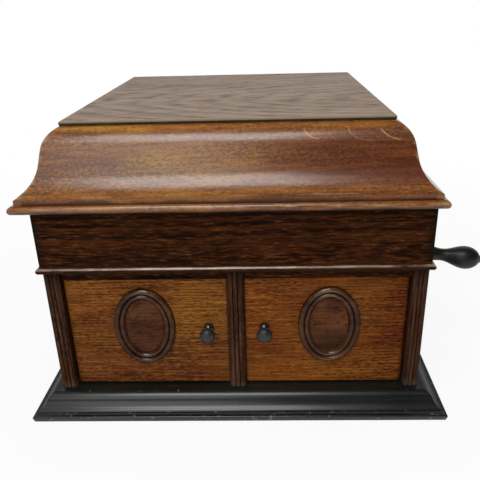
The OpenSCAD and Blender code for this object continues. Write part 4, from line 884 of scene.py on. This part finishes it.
def makePost(name, node, backY):
    low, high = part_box(node)
    front, foot, top = low[1] + post["crown"], low[2], high[2]
    reed = (high[0] - low[0] - 2 * post["edge"]) / post["reeds"]
    half = reed / 2 - post["groove"] / 2
    outline, wearAndLight = [(low[0], backY), (low[0], front + post["flankDeep"])], [0.0, 0.1]
    for r in range(post["reeds"]):
        for i in range(post["steps"] + 1):
            t = -1 + 2 * i / post["steps"]
            x = low[0] + post["edge"] + reed * (r + 0.5) + half * t
            outline.append((x, low[1] + post["crown"] * (1 - math.sqrt(max(0.0, 1 - t ** 4)))))
            # the reeds' crowns are rubbed, and they darken towards the grooves between them
            wearAndLight.append(post["crownWear"] - post["grooveDark"] * t ** 6)
        if r < post["reeds"] - 1:
            outline.append((low[0] + post["edge"] + reed * (r + 1), front + post["grooveDeep"]))
            wearAndLight.append(-1.0)
    outline += [(high[0], front + post["flankDeep"]), (high[0], backY)]
    wearAndLight += [0.1, 0.0]
    levels = [foot, foot + post["firstLevel"]]
    levels += [foot + (top - foot) * i / post["levels"] for i in range(1, post["levels"])] + [top]
    acrossCells, deepCells = post["chipCells"]
    rings, rows = [], []
    for z in levels:
        nearFoot = max(0.0, 1 - (z - foot) / post["chippedFoot"])
        ring = []
        for x, y in outline:
            uneven = 1 + noise.noise(Vector((x * acrossCells, y * deepCells, 3)))
            ring.append(Vector((x, y + nearFoot * post["chip"] * uneven if y < backY else y, z)))
        rings.append(ring)
        rows.append([w + post["footWear"] * nearFoot for w in wearAndLight])
    return meshPiece(name, rings, "case", finishes["post"], rows, smoothAngle=60)


def makePosts():
    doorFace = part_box("door_left")[0][1]
    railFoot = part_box("door_head_rail")[0][2]
    for side in ("left", "right"):
        node = "corner_stile_" + side
        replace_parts(makePost("reededPost_" + side, node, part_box(node)[1][1]), node)
    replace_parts(makePost("reededPost_middle", "centre_stile", doorFace), "centre_stile")
    # behind the door's face the middle post only reaches up to the rail
    low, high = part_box("centre_stile")
    corners = ((low[0], doorFace), (low[0], high[1]), (high[0], high[1]), (high[0], doorFace))
    core = [[Vector((x, y, z)) for x, y in corners]
            for z in (low[2], (low[2] + railFoot) / 2, railFoot)]
    meshPiece("middlePostCore", core, "case", finishes["post"])


makePosts()
print("bead and posts made")


# CAD nodes that keep their shape get their finish and softened edges; a node that isn't named
# here takes the finish of its material slot
finishNodes = {
    "lidTop": ["lid_top_board"], "lidBack": ["lid_back_board"],
    "frieze": ["frieze_front", "frieze_back", "back_panel", "door_head_rail"],
    "friezeSide": ["frieze_left", "frieze_right", "side_left", "side_right"],
    "doorLeft": ["door_left"], "doorRight": ["door_right"],
    "panelLeft": ["oval_panel_left"], "panelRight": ["oval_panel_right"],
    "board": ["base_board", "motor_board", "horn_floor", "horn_roof", "horn_cheeks",
              "worm_wheel"],
    "iron": ["horn_throat", "motor_frame"], "felt": ["turntable_felt"], "nickel": ["speed_dial"]}
edges = {"weld": 0.00001, "round": 0.0005, "segments": 2, "sharperThan": 40}


def dressNodes():
    chosen = {node: key for key, names in finishNodes.items() for node in names}
    slots = {s["node"]: s["material_slot"] for s in frame["record"]["subparts"]}
    for name, piece in nodes.items():
        if piece.hide_render:
            continue
        piece.data.materials.clear()
        piece.data.materials.append(finishes[chosen.get(name) or slots[name]])
        weld = piece.modifiers.new("weld", "WELD")
        weld.merge_threshold = edges["weld"]
        bevel = piece.modifiers.new("softEdges", "BEVEL")
        bevel.width = edges["round"]
        bevel.segments = edges["segments"]
        bevel.limit_method = "ANGLE"
        bevel.angle_limit = math.radians(edges["sharperThan"])
        bevel.harden_normals = True


dressNodes()


# floor, backdrop and lamps; a reach is where a change starts and ends, beside its two values
studio = {"floor": 2.4, "floorAt": -0.0002, "paperReach": (0.4, 1.1), "paperWhite": (0.9, 1.0),
          "world": 0.40, "roomReach": (-0.35, 0.1), "room": (0.25, 0.03),
          "backdropReach": (0.35, 0.8), "aim": (-0.02, -0.15, 0.25),
          "lamps": {"key": {"place": (-0.20, -1.03, 1.53), "size": (0.78, 0.80), "power": 14.5},
                    "fill": {"place": (-0.40, -1.65, 0.80), "size": (0.7, 1.0), "power": 5.2},
                    "top": {"place": (0.1, 0.35, 1.7), "size": (1.2, 0.8), "power": 5}}}


def whitePaper(name):
    material, tree = newMaterial(name)
    # the sheet takes the object's shadow near it and runs out into plain white
    away = lengthOf(tree, put(tree, "TexCoord").outputs["Object"])
    white = mapped(tree, away, *studio["paperReach"], *studio["paperWhite"])
    path = put(tree, "LightPath").outputs
    seen = calc(tree, "MAXIMUM", path["Is Camera Ray"], path["Is Glossy Ray"])
    seen = calc(tree, "MAXIMUM", seen, path["Is Transmission Ray"])
    diffuse = put(tree, "BsdfDiffuse", {"Color": (0.8, 0.8, 0.8, 1)})
    glow = put(tree, "Emission", {"Color": (1, 1, 1, 1), "Strength": 1.0})
    mixed = put(tree, "MixShader", {0: calc(tree, "MULTIPLY", seen, white),
                                    1: diffuse.outputs[0], 2: glow.outputs[0]})
    out = put(tree, "OutputMaterial")
    tree.links.new(mixed.outputs[0], out.inputs[0])
    return material


def makeFloor():
    f, z = studio["floor"], studio["floorAt"]
    mesh = bpy.data.meshes.new("paperFloor")
    mesh.from_pydata([(-f, -f, z), (f, -f, z), (f, f, z), (-f, f, z)], [], [(0, 1, 2, 3)])
    mesh.materials.append(whitePaper("whitePaper"))
    plane = bpy.data.objects.new("paperFloor", mesh)
    bpy.context.scene.collection.objects.link(plane)


def makeWorld():
    world = bpy.data.worlds.new("studioWorld")
    bpy.context.scene.world = world
    world.use_nodes = True
    tree = world.node_tree
    tree.nodes.clear()
    path = put(tree, "LightPath").outputs
    # the lit backdrop stands behind; the room before it is dim in reflections, least at the left
    way = put(tree, "TexCoord").outputs["Generated"]
    split = put(tree, "SeparateXYZ", {"Vector": way})
    room = mapped(tree, split.outputs[0], *studio["roomReach"], *studio["room"])
    behind = mapped(tree, split.outputs[1], *studio["backdropReach"], kind="SMOOTHSTEP")
    behind = calc(tree, "MULTIPLY_ADD", behind, calc(tree, "SUBTRACT", 1.0, room), room)
    more = calc(tree, "SUBTRACT", behind, studio["world"])
    strength = calc(tree, "MULTIPLY_ADD", path["Is Glossy Ray"], more, studio["world"])
    seen = calc(tree, "MAXIMUM", path["Is Camera Ray"], path["Is Transmission Ray"])
    strength = calc(tree, "MAXIMUM", strength, seen)
    glow = put(tree, "Background", {"Color": (1, 1, 1, 1), "Strength": strength})
    out = put(tree, "OutputWorld")
    tree.links.new(glow.outputs[0], out.inputs[0])


def makeLamps():
    for name, look in studio["lamps"].items():
        data = bpy.data.lights.new(name + "Lamp", "AREA")
        data.shape = "RECTANGLE"
        data.size, data.size_y = look["size"]
        data.energy = look["power"]
        lamp = bpy.data.objects.new(name + "Lamp", data)
        lamp.location = look["place"]
        towards = Vector(studio["aim"]) - Vector(look["place"])
        lamp.rotation_euler = towards.to_track_quat("-Z", "Y").to_euler()
        lamp.visible_glossy = name != "top"  # reflections leave the top lamp out
        bpy.context.scene.collection.objects.link(lamp)


makeFloor()
makeWorld()
makeLamps()
print("studio lit")
bpy.context.scene.view_settings.view_transform = "Standard"
